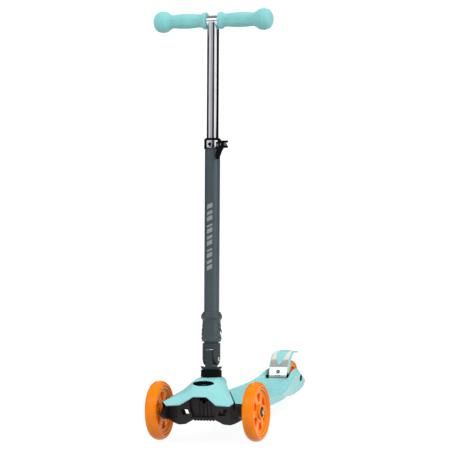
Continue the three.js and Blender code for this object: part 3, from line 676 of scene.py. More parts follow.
def front_hood():
    rows = [[(-x, y, z) for x, y, z in reversed(row[1:])] + row for row in HOOD_ROWS]
    columns = len(rows[0])
    faces = []
    for r in range(len(rows) - 1):
        for c in range(columns - 1):
            a = r * columns + c
            faces.append((a, a + columns, a + columns + 1, a + 1))
    made = mesh_object("hood_panel", [p for row in rows for p in row], faces)
    mesh = made.data
    creases = mesh.attributes.new("crease_edge", "FLOAT", "EDGE")
    for edge in mesh.edges:
        creases.data[edge.index].value = hood_crease(*edge.vertices, columns)
    corners = mesh.attributes.new("crease_vert", "FLOAT", "POINT")
    for i, corner in enumerate(corners.data):
        row, column = divmod(i, columns)
        corner.value = float(row in (0, len(rows) - 1) or column in (0, columns - 1))
    surface = made.modifiers.new("surface", "SUBSURF")
    surface.levels = surface.render_levels = 4
    wall = made.modifiers.new("wall", "SOLIDIFY")
    wall.thickness = HOOD_THICKNESS
    wall.offset = -1
    bake(made)
    if sum(p.normal.z * p.area for p in made.data.polygons if p.center.z > 110) < 0:
        made.data.flip_normals()
    clean(made)
    hole = prism("hole", ellipse(*OVAL_HALF, 64), -25, 25)
    hole.data.transform(CHASSIS.inverted() @ KINGPIN)
    ring_bottom = reach("base_ring", STEM)[0] - RING_SKIRT - 0.3
    stepped = [(0, 60), (15, 60), (15, ring_bottom), (21.6, ring_bottom), (21.6, 160), (0, 160)]
    carve(made, hole, lathe("seat", stepped, 64, CHASSIS.inverted() @ STEM))
    soften(made, 0.7, 3, 45)
    place(made, CHASSIS, "deck", "mint_plastic", "front_hood")
    for side, name in SIDES:
        hood_edge_shadow_lip(side, name)


def hood_edge_shadow_lip(side, name):
    """A black lip just outside the hood's side edge, which draws the dark line there: partly the black nose
    casting, partly painted shadow in the slit under the hood's edge.
    """
    start, end = HOOD_ROWS[2][-1], HOOD_ROWS[3][-1]
    rings = []
    for i in range(13):
        share = i / 12
        x, y, z = Vector(start).lerp(Vector(end), share) + Vector((0.9 + 1.3 * share, 2, -1.4))
        drop = 1.8 + 12 * ease((share - 0.82) / 0.18)
        corners = [(0.6, 0), (0, 1.2), (-3.5, 1.4), (-4, -drop), (0, -drop)]
        rings.append([Vector((side * (x + a), y, z + b)) for a, b in corners])
    made = loft(f"hood_edge_shadow_lip_{name}", rings)
    place(soften(made, 0.4, 2), CHASSIS, "deck", "black_plastic")


def oval_insert():
    """A black dish in the hood's oval hole, with the kingpin's head in its middle."""
    rim = [(22.1, 9.0, -4.6), (22.1, 9.0, -0.4), (21.7, 8.6, -0.1), (21.0, 8.0, -0.6)]
    dish = [(18.5, 7.4, -3.4), (14, 7.1, -4.4)]
    hole = [(7, 7, -4.5), (7, 7, -5.4)]
    rings = [[Vector((x, y, z)) for x, y in ellipse(a, b, 64)] for a, b, z in rim + dish + hole]
    made = loft("hood_dish", rings, wrap=True)
    place(made, KINGPIN, "deck", "black_plastic", "hood_oval_insert")
    bolt = [(0, -82), (4, -82), (4, -11), (6.2, -11), (6.4, -10.8), (6.4, -6.4), (5.6, -5.5), (0, -5.3)]
    head = lathe("kingpin_bolt", bolt, 48)
    carve(head, lathe("socket", rod(2.9, -8.5, 0), 6))
    place(head, KINGPIN, "deck", "steel", "kingpin")


# Truck

# Right halves, as x and z seen from the front, and as x and y seen from above.
TRUCK_FRONT = [
    (21, 47), (30, 43), (40, 37), (55, 35.5), (66, 39), (83, 48), (87, 53),
    (87, 69), (78, 73), (54, 76.5), (30, 92), (26, 92.5), (24, 88),
]
TRUCK_PLAN = [(24, -24), (60, -21), (87, -14), (87, 12), (60, 18), (24, 21)]
TRUCK_HORN = [(-8, 78), (-19, 77), (-42, 59), (-42, 56.5), (-24, 47), (-8, 44)]
TRUCK_WINDOW = [(50, 67), (34, 67), (29.3, 54.8), (45.3, 54.8)]
TRUCK_POCKET = [(56, 49), (70, 47.5), (81, 55), (82, 63), (76, 70), (58, 73)]
TRUCK_RECESS = [(23, 51), (29, 68), (30, 100)]
POCKET_DEPTH = 1.5


def truck():
    to_kingpin = CHASSIS.inverted() @ KINGPIN
    outline = rounded(mirrored(TRUCK_FRONT), 3, 3)
    beam = prism("truck_casting", outline, -30, 30, "y")
    common(beam, prism("plan", rounded(mirrored(TRUCK_PLAN), 5), 10, 110))
    slope = [(-4, 77), (22, 69.5), (22, 100), (-4, 100)]
    tools = [
        *(prism("rear_slope", slope, *on_side(side, 38, 90), "x") for side in (-1, 1)),
        lathe("head_room", rod(16, -42, 5), 48, to_kingpin),
        lathe("nut_room", rod(16, -100, -72), 48, to_kingpin),
        prism("recess", rounded(mirrored(TRUCK_RECESS), 2), -40, -17.5, "y"),
    ]
    ribs = []
    for side in (-1, 1):
        window = [(side * x, z) for x, z in rounded(TRUCK_WINDOW, 1, 2)]
        tools.append(prism("window", window, -50, 50, "y"))
        tools.append(side_block("rear_pocket", side, (26, -2, 50), (58, 30, 76)))
        pocket = prism("pocket", [(side * x, z) for x, z in rounded(TRUCK_POCKET, 3)], -40, -2, "y")
        inset = [(x, y + POCKET_DEPTH if y < 0 else y) for x, y in TRUCK_PLAN]
        carve(pocket, prism("floor", mirrored(inset), 10, 110))
        tools.append(pocket)
        for i in range(5):
            x = 60.5 + 4.4 * i
            face = -21.2 + 0.28 * (x - 58)
            ribs.append(side_block("rib", side, (x, face, 49 + 1.1 * i), (x + 0.8, -6, 71 - 1.1 * i)))
        ribs.append(prism("horn", rounded(TRUCK_HORN, 1.5), *on_side(side, 79, 87), "x"))
        boss = [(0, 78), (9.5, 78), (8.2, 89.6), (7.6, 90.2), (0, 90.2)]
        ribs.append(lathe("boss", boss, 40, raised(60) @ FACE[side] @ TO_X))
    carve(beam, *tools)
    for x in (-11, -3, 5, 13):
        ribs.append(block("rib", (x - 0.6, -20, 51), (x + 0.6, -12, 86.5)))
    for i in range(7):
        x = -27 + 6.5 * i
        slanted = [(x, 52.5), (x + 1.8, 52.5), (x + 9, 44.4), (x + 7.2, 44.4)]
        ribs.append(prism("foot_rib", slanted, -24.6, -6, "y"))
    unite(beam, *ribs)
    carve(beam, lathe("kingpin_hole", rod(PIN_BORE, -100, 10), 24, to_kingpin))
    soften(beam, 0.7, 2, 40)
    place(beam, CHASSIS, "truck", "black_plastic", "truck", finish="black_casting")
    for side, name in SIDES:
        wall = side_block(f"nose_wall_{name}", side, (19, 32, 47), (36, 50, 70))
        soften(wall, 1.2, 3)
        place(wall, CHASSIS, "deck", "black_plastic", finish="black_casting")


# Wheels

# Half a tyre's section: shares of the depth above the rim, and of the half width.
TYRE_CROWN = [
    (1, 0), (0.985, 0.20), (0.945, 0.40), (0.865, 0.60), (0.745, 0.77),
    (0.62, 0.86), (0.58, 0.94), (0.54, 0.95), (0.50, 0.91), (0.42, 0.95),
]
TYRE_FOOT = [(0.36, 1.0), (0.22, 1.0), (0.08, 0.975), (0.02, 0.93), (0, 0.88)]


def both_faces(side):
    """A closed profile from one half of it, which the other face mirrors."""
    whole = [*side, *((r, -h) for r, h in reversed(side[1:]))]
    return [*whole, whole[0]]


def tyre_profile(radius, rim, half):
    depth = radius - rim
    crown, foot = ([(rim + depth * a, half * b) for a, b in part] for part in (TYRE_CROWN, TYRE_FOOT))
    return both_faces([*((p.x, p.y) for p in smooth_path(crown, 29)), *foot])


def kidney(inner, outer, spread, centre, steps=10):
    """The outline of a pocket between two spokes, in polar coordinates."""
    out = [(outer, centre + spread * (2 * i / steps - 1)) for i in range(steps + 1)]
    back = [(inner, centre - spread * 0.62 * (2 * i / steps - 1)) for i in range(steps + 1)]
    corners = [(r * math.cos(a), r * math.sin(a)) for r, a in [*out, *back]]
    return rounded(corners, 2.2, 3)


def core_profile(rim, lip, face, hub):
    """A wheel core's section: rim ring, dished face and hub, the same on both sides."""
    return both_faces([
        (rim - 0.5, 0), (rim - 0.5, lip), (rim - 1.2, lip + 0.5), (rim - 4.0, lip + 0.5), (rim - 4.6, lip),
        (rim - 5.2, face + 1.6), (rim - 7.0, face + 0.4), (rim * 0.62, face + 0.8), (15.6, face + 1.4),
        (15.0, hub - 0.6), (14.4, hub), (11.4, hub), (11.2, hub - 7.3), (7.5, hub - 7.3),
    ])


def wheel(name, centre, side, body, nodes, radius, rim, half, hub, spokes):
    matrix = local_frame(centre) @ FACE[side]
    tyre = lathe(f"{name}_tyre_cast", tyre_profile(radius, rim, half), 128, TO_X)
    place(tyre, matrix, body, "orange_tyre", nodes["tyre"])

    lip, face = half - 1.8, half * 0.5
    core = lathe(f"{name}_core_moulded", core_profile(rim, lip, face, hub), 96, TO_X)
    inner, outer = 17.5 + (rim - 30) * 0.20, rim - 8 - (rim - 30) * 0.2
    tools = []
    for turn in around(spokes, 0.5):
        outline = kidney(inner, outer, math.pi / spokes - 0.20, turn)
        tools += [prism("pocket", outline, 1.6, 40, "x"), prism("pocket", outline, -40, -1.6, "x")]
    carve(core, *tools)
    soften(core, 1.1, 3, 45)

    # The pockets' faces take a deeper orange: painted shade for the depth of the pockets in the clear core.
    def deep(point):
        return inner - 0.5 < math.hypot(point.y, point.z) < outer + 0.5 and abs(point.x) < face - 0.6

    two_tone(core, "orange_core", "orange_pocket_shade", deep)
    place(core, matrix, body, "orange_core", nodes["core"])
    for end, face_name in ((1, "outer"), (-1, "inner")):
        bearing(f"{name}_bearing_{face_name}", matrix @ FACE[end], hub, body, nodes[face_name])


def bearing(name, matrix, hub, body, node):
    """A shielded ball bearing: two steel rings with a black seal between them."""
    face = hub - 0.4
    back = hub - 7
    profile = [(4.3, back), (10.9, back), (10.9, face - 0.3), (10.6, face), (9.3, face), (9.1, face - 0.5)]
    profile += [(6.3, face - 0.5), (6.1, face), (4.5, face), (4.3, face - 0.2), (4.3, back)]
    made = lathe(name, profile, 48, TO_X)

    def seal(point):
        return 6.35 < math.hypot(point.y, point.z) < 9.05 and point.x > back + 1

    two_tone(made, "dark_steel", "black_plastic", seal)
    place(made, matrix, body, "steel", node)


def socket_bolt(name, tip, seat, top, radius):
    """A bolt along X with a domed round head and a hexagonal socket."""
    shank = [(0, tip), (3.6, tip), (4, tip + 0.4), (4, seat), (radius, seat), (radius, top - 2.2)]
    dome = [(radius * 0.93, top - 1.2), (radius * 0.72, top - 0.3), (radius * 0.5, top), (0, top)]
    made = lathe(name, shank + dome, 48, TO_X)
    carve(made, lathe("socket", rod(radius * 0.46, top - 2.4, top + 5), 6, TO_X))
    return made


def wheels():
    for side, name in SIDES:
        centre = Vector(JOINTS[f"wheel_{name}_spin"]["pos_m"])
        nodes = {
            "tyre": f"front_tyre_{name}",
            "core": f"front_wheel_core_{name}",
            "outer": f"outer_bearing_{name}",
            "inner": f"inner_bearing_{name}",
        }
        wheel(f"front_{name}", centre, side, f"wheel_{name}", nodes, 60, 49, 12, 12.5, 6)
        top = abs(reach(f"front_axle_bolt_{name}", CHASSIS, 0)[0 if side < 0 else 1])
        bolt = socket_bolt(f"front_axle_screw_{name}", 66, top - 4.4, top, 5.2)
        axle = CHASSIS @ raised(FRONT_AXLE.z * 1000) @ FACE[side]
        place(bolt, axle, "truck", "chrome", f"front_axle_bolt_{name}", finish="steel")
    nodes = {
        "tyre": "rear_tyre",
        "core": "rear_wheel_core",
        "outer": "rear_bearing_left",
        "inner": "rear_bearing_right",
    }
    wheel("rear", REAR_AXLE, 1, "wheel_rear", nodes, 40, 30, 19, 20, 5)


# Rear brake

FENDER_HALF = 22.8
FENDER_SKIN = 2.4


def fender_point(share, x=0.0, lift=0.0):
    """A point x to the side of the fender's line, and lifted off it."""
    t = share * (len(FENDER_LINE) - 1)
    i = min(int(t), len(FENDER_LINE) - 2)
    run = (FENDER_LINE[i + 1] - FENDER_LINE[i]).normalized()
    point = FENDER_LINE[i].lerp(FENDER_LINE[i + 1], t - i) + Vector((-run.y, run.x)) * lift
    return Vector((x, point.x, point.y))


def fender_section(share):
    """The fender's cross-section: a thin skin with turned-down flanges and rounded shoulders."""
    flange = 1.0 + 7.0 * (1 - ease((share - 0.15) / 0.7))
    half, wall, under = FENDER_HALF, FENDER_HALF - 2.4, -FENDER_SKIN - 0.4
    outer = [(-half, -flange), (-half, -2.2), (-half + 0.7, -0.8), (-half + 2.2, 0)]
    across = [(x, 0.5 * (1 - (x / half) ** 2)) for x in range(-18, 19, 4)]
    inner = [(wall, -flange + 0.2), (wall, under), (-wall, under), (-wall, -flange + 0.2)]
    ring = [*outer, *across, *((-x, z) for x, z in reversed(outer)), *inner]
    return [(x, max(z, under)) for x, z in ring] if flange < FENDER_SKIN + 0.6 else ring


def brake_fender():
    shares = [i / 48 for i in range(49)]
    rings = [[fender_point(share, x, lift) for x, lift in fender_section(share)] for share in shares]
    made = loft("fender_shell", rings)
    soften(made, 0.5, 2, 50)
    place(made, CHASSIS, "brake", "mint_plastic", "brake_fender")


def on_fender(name, rows, thickness, base):
    """A raised panel on the fender. Each row is (share of the line, half width)."""
    rings = []
    for share, half in rows:
        low, high, crown = (fender_point(share, 0, base + t) for t in (0, thickness, thickness + 0.35))
        edge = low.lerp(high, 0.6)
        xs = [-half, -half * 0.93, -half * 0.5, 0, half * 0.5, half * 0.93, half, half, -half]
        heights = [edge, high, crown, crown, crown, high, edge, low, low]
        rings.append([Vector((x, p.y, p.z)) for x, p in zip(xs, heights)])
    return loft(name, rings)


def fender_pad():
    """The grey pad, with the mint tongue that tapers down over it."""
    start, end, count = 0.152, 0.965, 26
    rows = [(start + (end - start) * i / count, 19.6) for i in range(count + 1)]
    pad = on_fender("fender_grip_pad", rows, 0.7, 0.1)
    soften(pad, 0.3, 2, 50)
    place(pad, CHASSIS, "brake", "grey_pad", "fender_pad")
    tip, top, count = 0.185, 0.955, 30
    rows = []
    for i in range(count + 1):
        t = i / count
        half = 11.4 * math.sin(math.pi / 2 * min(t / 0.8, 1)) ** 0.8 - 1.0 * ease((t - 0.8) / 0.2)
        rows.append((tip + (top - tip) * t**1.6, max(half, 0.35)))
    # A black strip a little wider than the tongue, under it, shows as a dark outline round the tongue:
    # painted shade along the tongue's edge.
    groove = on_fender("fender_tongue_shade_outline", [(s, h + 1.0) for s, h in rows], 0.35, 0.75)
    place(groove, CHASSIS, "brake", "grey_pad", finish="black_plastic")
    tongue = on_fender("fender_tongue", rows, 1.0, 0.8)
    soften(tongue, 0.35, 2, 50)
    place(tongue, CHASSIS, "brake", "mint_plastic")


PLATE_HALF = 20.0
PLATE_LINE = smooth_path([(446.0, 46.0), (446.5, 51.5), (449.2, 58.0), (453.9, 68.6), (454.6, 70.4)], 15)


def brake_plate():
    rings = []
    for i, here in enumerate(PLATE_LINE):
        before, after = PLATE_LINE[max(i - 1, 0)], PLATE_LINE[min(i + 1, len(PLATE_LINE) - 1)]
        run = (after - before).normalized()
        back = here + Vector((-run.y, run.x)) * -1.3
        half = PLATE_HALF - 0.6 * ease((i - 12) / 2)
        section = ((-half, here), (half, here), (half, back), (-half, back))
        rings.append([Vector((x, point.x, point.y)) for x, point in section])
    made = loft("brake_plate_folded", rings)
    soften(made, 0.2, 2, 50)
    place(made, CHASSIS, "brake", "white_plate", "brake_plate")
    pin = Matrix.Translation(in_frame(CHASSIS, BRAKE_PIN)) @ TO_X
    for side, name in SIDES:
        ring = washer(2.5, 3.3, *on_side(side, 7.4, PLATE_HALF - 0.4))
        knuckle = lathe(f"brake_plate_knuckle_{name}", ring, 32, pin)
        place(knuckle, CHASSIS, "brake", "white_plate", finish="steel")


def plate_rivet():
    here, beyond = PLATE_LINE[8], PLATE_LINE[10]
    run = (beyond - here).normalized()
    turned = facing(Vector((0, here.x, here.y)), Vector((0, -run.y, run.x)))
    profile = [(0, -2.5), (1.8, -2.5), (1.8, 0.1), (3.9, 0.1), (3.9, 0.9), (3.6, 1.2), (3.0, 1.2)]
    profile += [(2.7, 0.5), (2.0, 0.5), (1.8, 1.4), (1.1, 1.9), (0, 2.0)]
    made = lathe("plate_rivet_head", profile, 40)
    # Plain steel on the dome's middle, dark steel round it: the bright middle is a painted highlight.
    two_tone(made, "dark_steel", "steel", lambda point: math.hypot(point.x, point.y) < 1.9)
    place(made, CHASSIS @ turned, "brake", "steel", "plate_rivet")


# Stem

TUBE_RADIUS = 15.5
FOLD_HEIGHT = in_frame(STEM, FOLD_PIN).z
FOLD_CROSS = raised(FOLD_HEIGHT)
TONGUE_RADIUS, TONGUE_HALF, CHEEK_RADIUS = 17.9, 7.7, 12.9


def base_ring():
    low, high = reach("base_ring", STEM)
    low -= RING_SKIRT
    outer = 21.25
    groove = low + (high - low) * 0.5
    profile = [(14.3, low), (outer - 0.8, low), (outer, low + 0.8), (outer, groove - 0.4)]
    profile += [(outer - 0.3, groove - 0.2), (outer - 0.3, groove + 0.2), (outer - 0.1, groove + 0.4)]
    profile += [(outer - 0.1, high - 1.0), (outer - 1.0, high), (14.3, high), (14.3, low)]
    place(lathe("stem_collar_ring", profile, 96), STEM, "deck", "black_plastic", "base_ring")


def hinge_base():
    """The hinge's foot, with the tongue that stands up from its flange."""
    low = reach("hinge_base", STEM)[0]
    ring_top = reach("base_ring", STEM)[1] + 0.3
    flange = ring_top + 4.6
    foot = [(0, low), (13.6, low), (14, low + 0.4), (14, ring_top), (18.5, ring_top), (19.2, ring_top + 1.2)]
    rim = [(20.8, ring_top + 3.2), (21, flange - 0.6), (20.4, flange), (16, flange + 0.2)]
    made = lathe("hinge_foot", [*foot, *rim, (14.2, flange + 1.2), (0, flange + 1.2)], 72)
    outline = [(-17.8, flange - 2), (17.8, flange - 2), (17.8, FOLD_HEIGHT)]
    outline += [*arc(0, FOLD_HEIGHT, 18.2, 0, 90, 10), (-17.8, FOLD_HEIGHT + 18.2)]
    tongue = prism("tongue", outline, -TONGUE_HALF, TONGUE_HALF, "x")
    common(tongue, lathe("barrel", rod(TONGUE_RADIUS, 130, 200), 72))
    carve(tongue, lathe("eye", rod(PIN_BORE, -12, 12), 32, FOLD_CROSS @ TO_X))
    horn = [(15.5, -1.2), (18.2, -1.2), (21.2, 2.0), (20.4, 2.2), (16.4, 0.4)]
    horns = [prism("horn", [(side * x, flange + s) for x, s in horn], -7, 7, "y") for side in (-1, 1)]
    unite(made, tongue, *horns)
    soften(made, 0.6, 3, 40)
    place(made, STEM, "deck", "grey_plastic", "hinge_base", finish="grey_casting")


def hinge_head():
    """The fork on the stem's foot: a barrel whose two cheeks hold the hinge's tongue."""
    top = reach("outer_tube", STEM)[0] - 0.3
    barrel = [(0, 149), (13, 149), (15.4, 151.6), (17.2, 156), (18.2, 162), (18.2, top - 1.4)]
    spigot = [(16.8, top), (13.2, top), (13.2, 208), (0, 208)]
    made = lathe("hinge_fork", barrel + spigot, 96)
    wide, shoulder = 16.4, FOLD_HEIGHT + 6
    outline = [(30, 177), (30, 220), (-30, 220), (-30, 177), (-wide, 175.5), (-wide, shoulder)]
    outline += [*arc(0, FOLD_HEIGHT, CHEEK_RADIUS, 180, 360, 20), (wide, shoulder), (wide, 175.5)]
    common(made, prism("side", outline, -30, 30, "x"))
    slot = block("slot", (-9, -40, 120), (9, 40, FOLD_HEIGHT + 18.8))
    hole = lathe("pin_hole", rod(PIN_BORE, -30, 30), 32, FOLD_CROSS @ TO_X)
    bore = lathe("bore", rod(7.3, 170, 220), 40)
    seats = [lathe("seat", rod(7.2, 14, 40), 40, FOLD_CROSS @ FACE[side] @ TO_X) for side in (-1, 1)]
    carve(made, slot, hole, bore, *seats)
    soften(made, 0.7, 3, 40)
    place(made, STEM, "stem", "grey_plastic", "hinge_head", finish="grey_casting")
    screw = socket_bolt("fold_screw", -17.2, 14.3, 17.8, 6.4)
    place(screw, STEM @ FOLD_CROSS, "stem", "chrome", "fold_bolt", finish="steel")
    section = [(4.3, -14.3), (6.5, -14.3), (6.5, -16.8), (6, -17.3), (4.3, -17.3), (4.3, -14.3)]
    nut = lathe("fold_cap_nut", section, 6, TO_X)
    place(soften(nut, 0.3, 2), STEM @ FOLD_CROSS, "stem", "chrome", "fold_nut")


def highlight_line():
    """A pale strip on the tongue's top edge, where it meets the fork: a painted highlight line."""
    rings = []
    for x in (-7.4, -6.8, -3, 0, 3, 6.8, 7.4):
        thick = 1.0 if abs(x) < 7 else 0.4
        depth = math.sqrt(TONGUE_RADIUS**2 - x * x)
        corners = [(-depth - 0.15, 0), (-depth + 1.4, 0), (-depth + 1.4, thick), (-depth - 0.15, thick)]
        rings.append([Vector((x, y, FOLD_HEIGHT + 17.3 + s)) for y, s in corners])
    made = loft("hinge_painted_highlight_strip", rings)
    place(made, STEM, "deck", "grey_plastic", finish="pale_print_and_highlight")


def outer_tube():
    low, high = reach("outer_tube", STEM)
    inner, outer = 13.5, TUBE_RADIUS
    profile = [(inner, low), (outer - 0.4, low), (outer, low + 0.4)]
    profile += [(outer, high - 0.4), (outer - 0.4, high), (inner, high), (inner, low)]
    tube = carve(lathe("stem_tube", profile, 128), button_hole())
    place(tube, STEM, "stem", "grey_paint", "outer_tube")


def slanted_bars():
    """A plain pattern of slanted bars printed up the front of the stem."""
    start, pitch, slant = 340.0, 12.4, 5.0
    half_wide, across = 5.6, 10
    work = bmesh.new()
    for i, tall in enumerate([9.0, 6.6, 9.0, 4.2, 9.0, 6.6, 9.0, 4.2, 9.0, 6.6, 9.0]):
        rings = []
        for k in range(across + 1):
            x = -half_wide + 2 * half_wide * k / across
            low = start + i * pitch + slant * (x / (2 * half_wide) + 0.5)
            front, back = (-math.sqrt(face**2 - x * x) for face in (TUBE_RADIUS + 0.12, TUBE_RADIUS - 0.2))
            corners = ((front, low), (front, low + tall), (back, low + tall), (back, low))
            rings.append([Vector((x, y, s)) for y, s in corners])
        bar = loft("bar", rings)
        work.from_mesh(bar.data)
        bpy.data.objects.remove(bar)
    mesh = bpy.data.meshes.new("stem_stripe_print")
    work.to_mesh(mesh)
    work.free()
    place(add_object("stem_stripe_print", mesh), STEM, "stem", "grey_paint", finish="pale_print_and_highlight")


SLEEVE_RADIUS = level([  # by the height on the stem
    (196.8, 18.2), (198.2, 19.6), (203, 20.3), (214, 20.3), (222, 19.8), (230, 19.0), (236, 18.5),
    (240.5, 18.6), (243, 20.2), (245, 21.4), (249, 21.5), (250.5, 20.9), (254.5, 18.6), (256.9, 17.7),
])
SLEEVE_LOBES = (199.0, 8.6, 4)  # first lobe's middle, pitch, count


def sleeve_shape(angle, height):
    """Rounded finger ridges on the sleeve's two sides, and smooth panels front and back."""
    first, pitch, count = SLEEVE_LOBES
    phase = (height - first) / pitch
    if not -0.3 < phase < count:
        return 0.0
    side = ease((abs(math.cos(angle)) - 0.55) / 0.25)
    panel = 0.35 * ease((abs(math.sin(angle)) - 0.86) / 0.1)
    return side * (1.0 * abs(math.sin(math.pi * phase)) - 0.75) - panel


def lock_sleeve():
    low, high = reach("lock_sleeve", STEM)
    steps = 90
    heights = [low + (high - low) * i / steps for i in range(steps + 1)]
    outside = [circle_ring(SLEEVE_RADIUS(h), h, 120, sleeve_shape) for h in heights]
    inside = [circle_ring(15.8, h, 120) for h in (high, low)]
    made = loft("lock_sleeve_grip", [*outside, *inside], wrap=True)
    middle = raised(sum(reach("sleeve_bolt", STEM)) / 2)
    turn = middle @ TO_X
    carve(made, lathe("hole", rod(2.8, -30, 30), 24, turn), lathe("seat", rod(5.4, 18.3, 30), 32, turn))
    soften(made, 0.4, 2, 50)
    place(made, STEM, "sleeve", "grey_plastic", "lock_sleeve")
    shank = [(0, -19.5), (2.5, -19.5), (2.5, 18.6)]
    head = [(5, 18.6), (5, 20.4), (4.2, 21.4), (2.6, 21.8), (0, 21.8)]
    bolt = lathe("sleeve_cross_screw", shank + head, 40, TO_X)
    carve(bolt, lathe("socket", rod(1.9, 20, 30), 6, TO_X))
    place(bolt, STEM @ middle, "sleeve", "chrome", "sleeve_bolt")


def lock_spring():
    """The coil spring in the tube's foot, which shortens as the sleeve lifts its plunger."""
    low, high = reach("lock_spring", STEM)
    wire, radius, coils, steps = 0.9, 8.5, 5, 24
    rings = []
    for i in range(coils * steps + 1):
        share = i / (coils * steps)
        angle = 2 * math.pi * coils * share
        out = Vector((math.cos(angle), math.sin(angle), 0))
        centre = out * radius + UP * (low + wire + share * (high - low - 2 * wire))
        rings.append(oval_ring(centre, out, UP, wire, wire, 10))
    made = loft("lock_coil_spring", rings)
    place(made, STEM, "stem", "steel", "lock_spring")
    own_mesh(made)


def button_frame():
    return raised(sum(reach("height_button", STEM)) / 2) @ TO_Y


def button_hole():
    return lathe("button_hole", rod(3.7, -30, 0), 32, button_frame())


CLAMP_BOLT = Matrix.Translation((24, 0, 595.5))


def clamp_slit():
    return block("slit", (10, -0.8, 570), (40, 0.8, 620))


def clamp():
    """The chrome collar with its black ears, the height button and the tube's guide bush."""
    low, high = reach("clamp_collar", STEM)
    middle = (low + high) / 2
    section = [(15.8, low), (16.6, low), (17.2, low + 0.9), (16.8, high - 0.9), (16.2, high)]
    band = lathe("clamp_band", [*section, (15.8, high), (15.8, low)], 96)
    carve(band, clamp_slit(), button_hole())
    soften(band, 0.3, 2, 50)
    place(band, STEM, "stem", "chrome", "clamp_collar")

    ears = block("clamp_ears", (13, -5, middle - 6.8), (28, 5, middle + 5.2))
    core = lathe("core", rod(17.4, 560, 620), 64)
    hole = lathe("hole", rod(2.7, -20, 20), 24, CLAMP_BOLT @ TO_Y)
    carve(ears, core, clamp_slit(), hole)
    soften(ears, 0.9, 3)
    place(ears, STEM, "stem", "black_plastic")
    # A thin black ring at the collar's top and bottom edges draws the dark line at each edge.
    for name, at in (("lower", low), ("upper", high)):
        edge_ring = lathe(f"clamp_dark_edge_ring_{name}", washer(15.6, 17.5, at - 0.7, at + 0.7), 96)
        place(soften(edge_ring, 0.3, 2), STEM, "stem", "black_plastic")

    dome = [(0, -19.7), (2.0, -19.6), (3.0, -19.0), (3.4, -18.0), (3.4, -15.1), (0, -15.1)]
    button = lathe("height_push_button", dome, 40, button_frame())
    place(button, STEM, "button", "black_plastic", "height_button")

    foot, top = reach("guide_bush", STEM)
    lip = high + 0.7
    profile = [(12.25, foot), (13.2, foot), (13.2, lip), (17.2, lip), (17.2, lip + 1), (14.4, top)]
    bush = lathe("tube_guide_bush", [*profile, (12.25, top), (12.25, foot)], 96)
    place(carve(bush, button_hole()), STEM, "stem", "black_plastic", "guide_bush")


def swept(name, path, sizes, across=Vector((0, 1, 0))):
    """A smooth arm along a path, with an oval section of (half width, half thickness) at each point."""
    count = 28
    line = smooth_path(path, count)
    widths = smooth_path(sizes, count)
    rings = []
    for i, here in enumerate(line):
        run = (line[min(i + 1, count - 1)] - line[max(i - 1, 0)]).normalized()
        rings.append(oval_ring(here, across.cross(run).normalized(), across, widths[i].x, widths[i].y, 20))
    return loft(name, rings)


# The lever's handle: points of its middle line on the stem, then half widths and half thicknesses.
LEVER_PATH = [
    (28.5, -14.2, 594.0), (25.4, -14.8, 590.4), (22.2, -15.4, 586.2), (19.4, -15.6, 580.4),
    (17.3, -15.2, 574.0), (16.2, -14.6, 568.4), (16.0, -14.4, 565.3),
]
LEVER_SIZES = [(4.8, 3.2), (5.4, 3.2), (5.8, 3.0), (6.0, 2.8), (5.5, 2.6), (4.4, 2.2), (1.5, 1.0)]


def clamp_lever():
    """The quick-release lever: a forked head on the clamp's eye and a curved handle."""
    x, y, s = in_frame(STEM, JOINTS["lever_open"]["pos_m"])
    low, high = s - 7.3, s + 7.3
    head = lathe("quick_release_lever", rod(6.4, low, high, 0.8), 40, Matrix.Translation((x, y, 0)))
    jaw = [(x - 7, y - 5.2), (x + 3, y - 5.6), (x + 6.6, y - 3.2), (x + 7.2, y + 0.4), (x, y + 2)]
    unite(head, prism("jaw", jaw, low, high))
    unite(head, swept("arm", LEVER_PATH, LEVER_SIZES))
    mouth = [(x + 2.6, s - 2.2), (x + 20, s - 3.4), (x + 20, s + 3.9), (x + 2.6, s + 2.6)]
    carve(
        head,
        prism("mouth", rounded(mouth, 2), y - 20, y + 20, "y"),
        block("eye_slot", (x - 30, y - 4.1, s - 3.3), (x + 1, y + 30, s + 3.3)),
        block("swing_slot", (x, y - 30, s - 3.3), (x + 20, y + 30, s + 3.3)),
        lathe("pin_hole", rod(2.9, low - 5, high + 5), 24, Matrix.Translation((x, y, 0))),
    )
    soften(head, 0.5, 2, 45)
    place(head, STEM, "lever", "black_plastic", "clamp_lever")


# T-bar

BAR_HEIGHT = sum(reach("grip_left", STEM)) / 2
CROSS_HALF = 118.0
UPRIGHT_RADIUS, CROSS_RADIUS, CROSS_BORE = 12, 11, 9.4
BAR_HALF = reach("grip_left", STEM, 0)[1]
BAR = raised(BAR_HEIGHT)


def handlebar():
    foot = reach("handlebar", STEM)[0]
    upright = lathe("t_bar", washer(10.4, UPRIGHT_RADIUS, foot, BAR_HEIGHT), 96)
    cross = lathe("cross", washer(CROSS_BORE, CROSS_RADIUS, -CROSS_HALF, CROSS_HALF), 96, BAR @ TO_X)
    carve(upright, lathe("bore", rod(CROSS_BORE, -CROSS_HALF - 9, CROSS_HALF + 9), 96, BAR @ TO_X))
    unite(upright, cross, weld_bead())
    carve(upright, lathe("pin_hole", rod(3.3, -20, 0), 32, button_frame()))
    place(upright, STEM, "handlebar", "chrome", "handlebar")


def weld_bead():
    """The weld where the upright meets the cross tube: a bead that rides up and down round the joint."""
    rings = []
    for angle in around(96):
        x, y = UPRIGHT_RADIUS * math.cos(angle), UPRIGHT_RADIUS * math.sin(angle)
        drop = math.sqrt(CROSS_RADIUS**2 - min(abs(y), 10.6) ** 2)
        centre = Vector((x, y, BAR_HEIGHT - drop))
        out = Vector((math.cos(angle), math.sin(angle), 0))
        size = 1.15 + 0.12 * math.sin(17 * angle)
        rings.append(oval_ring(centre, out, UP, size, size, 10))
    return loft("bead", rings, wrap=True)


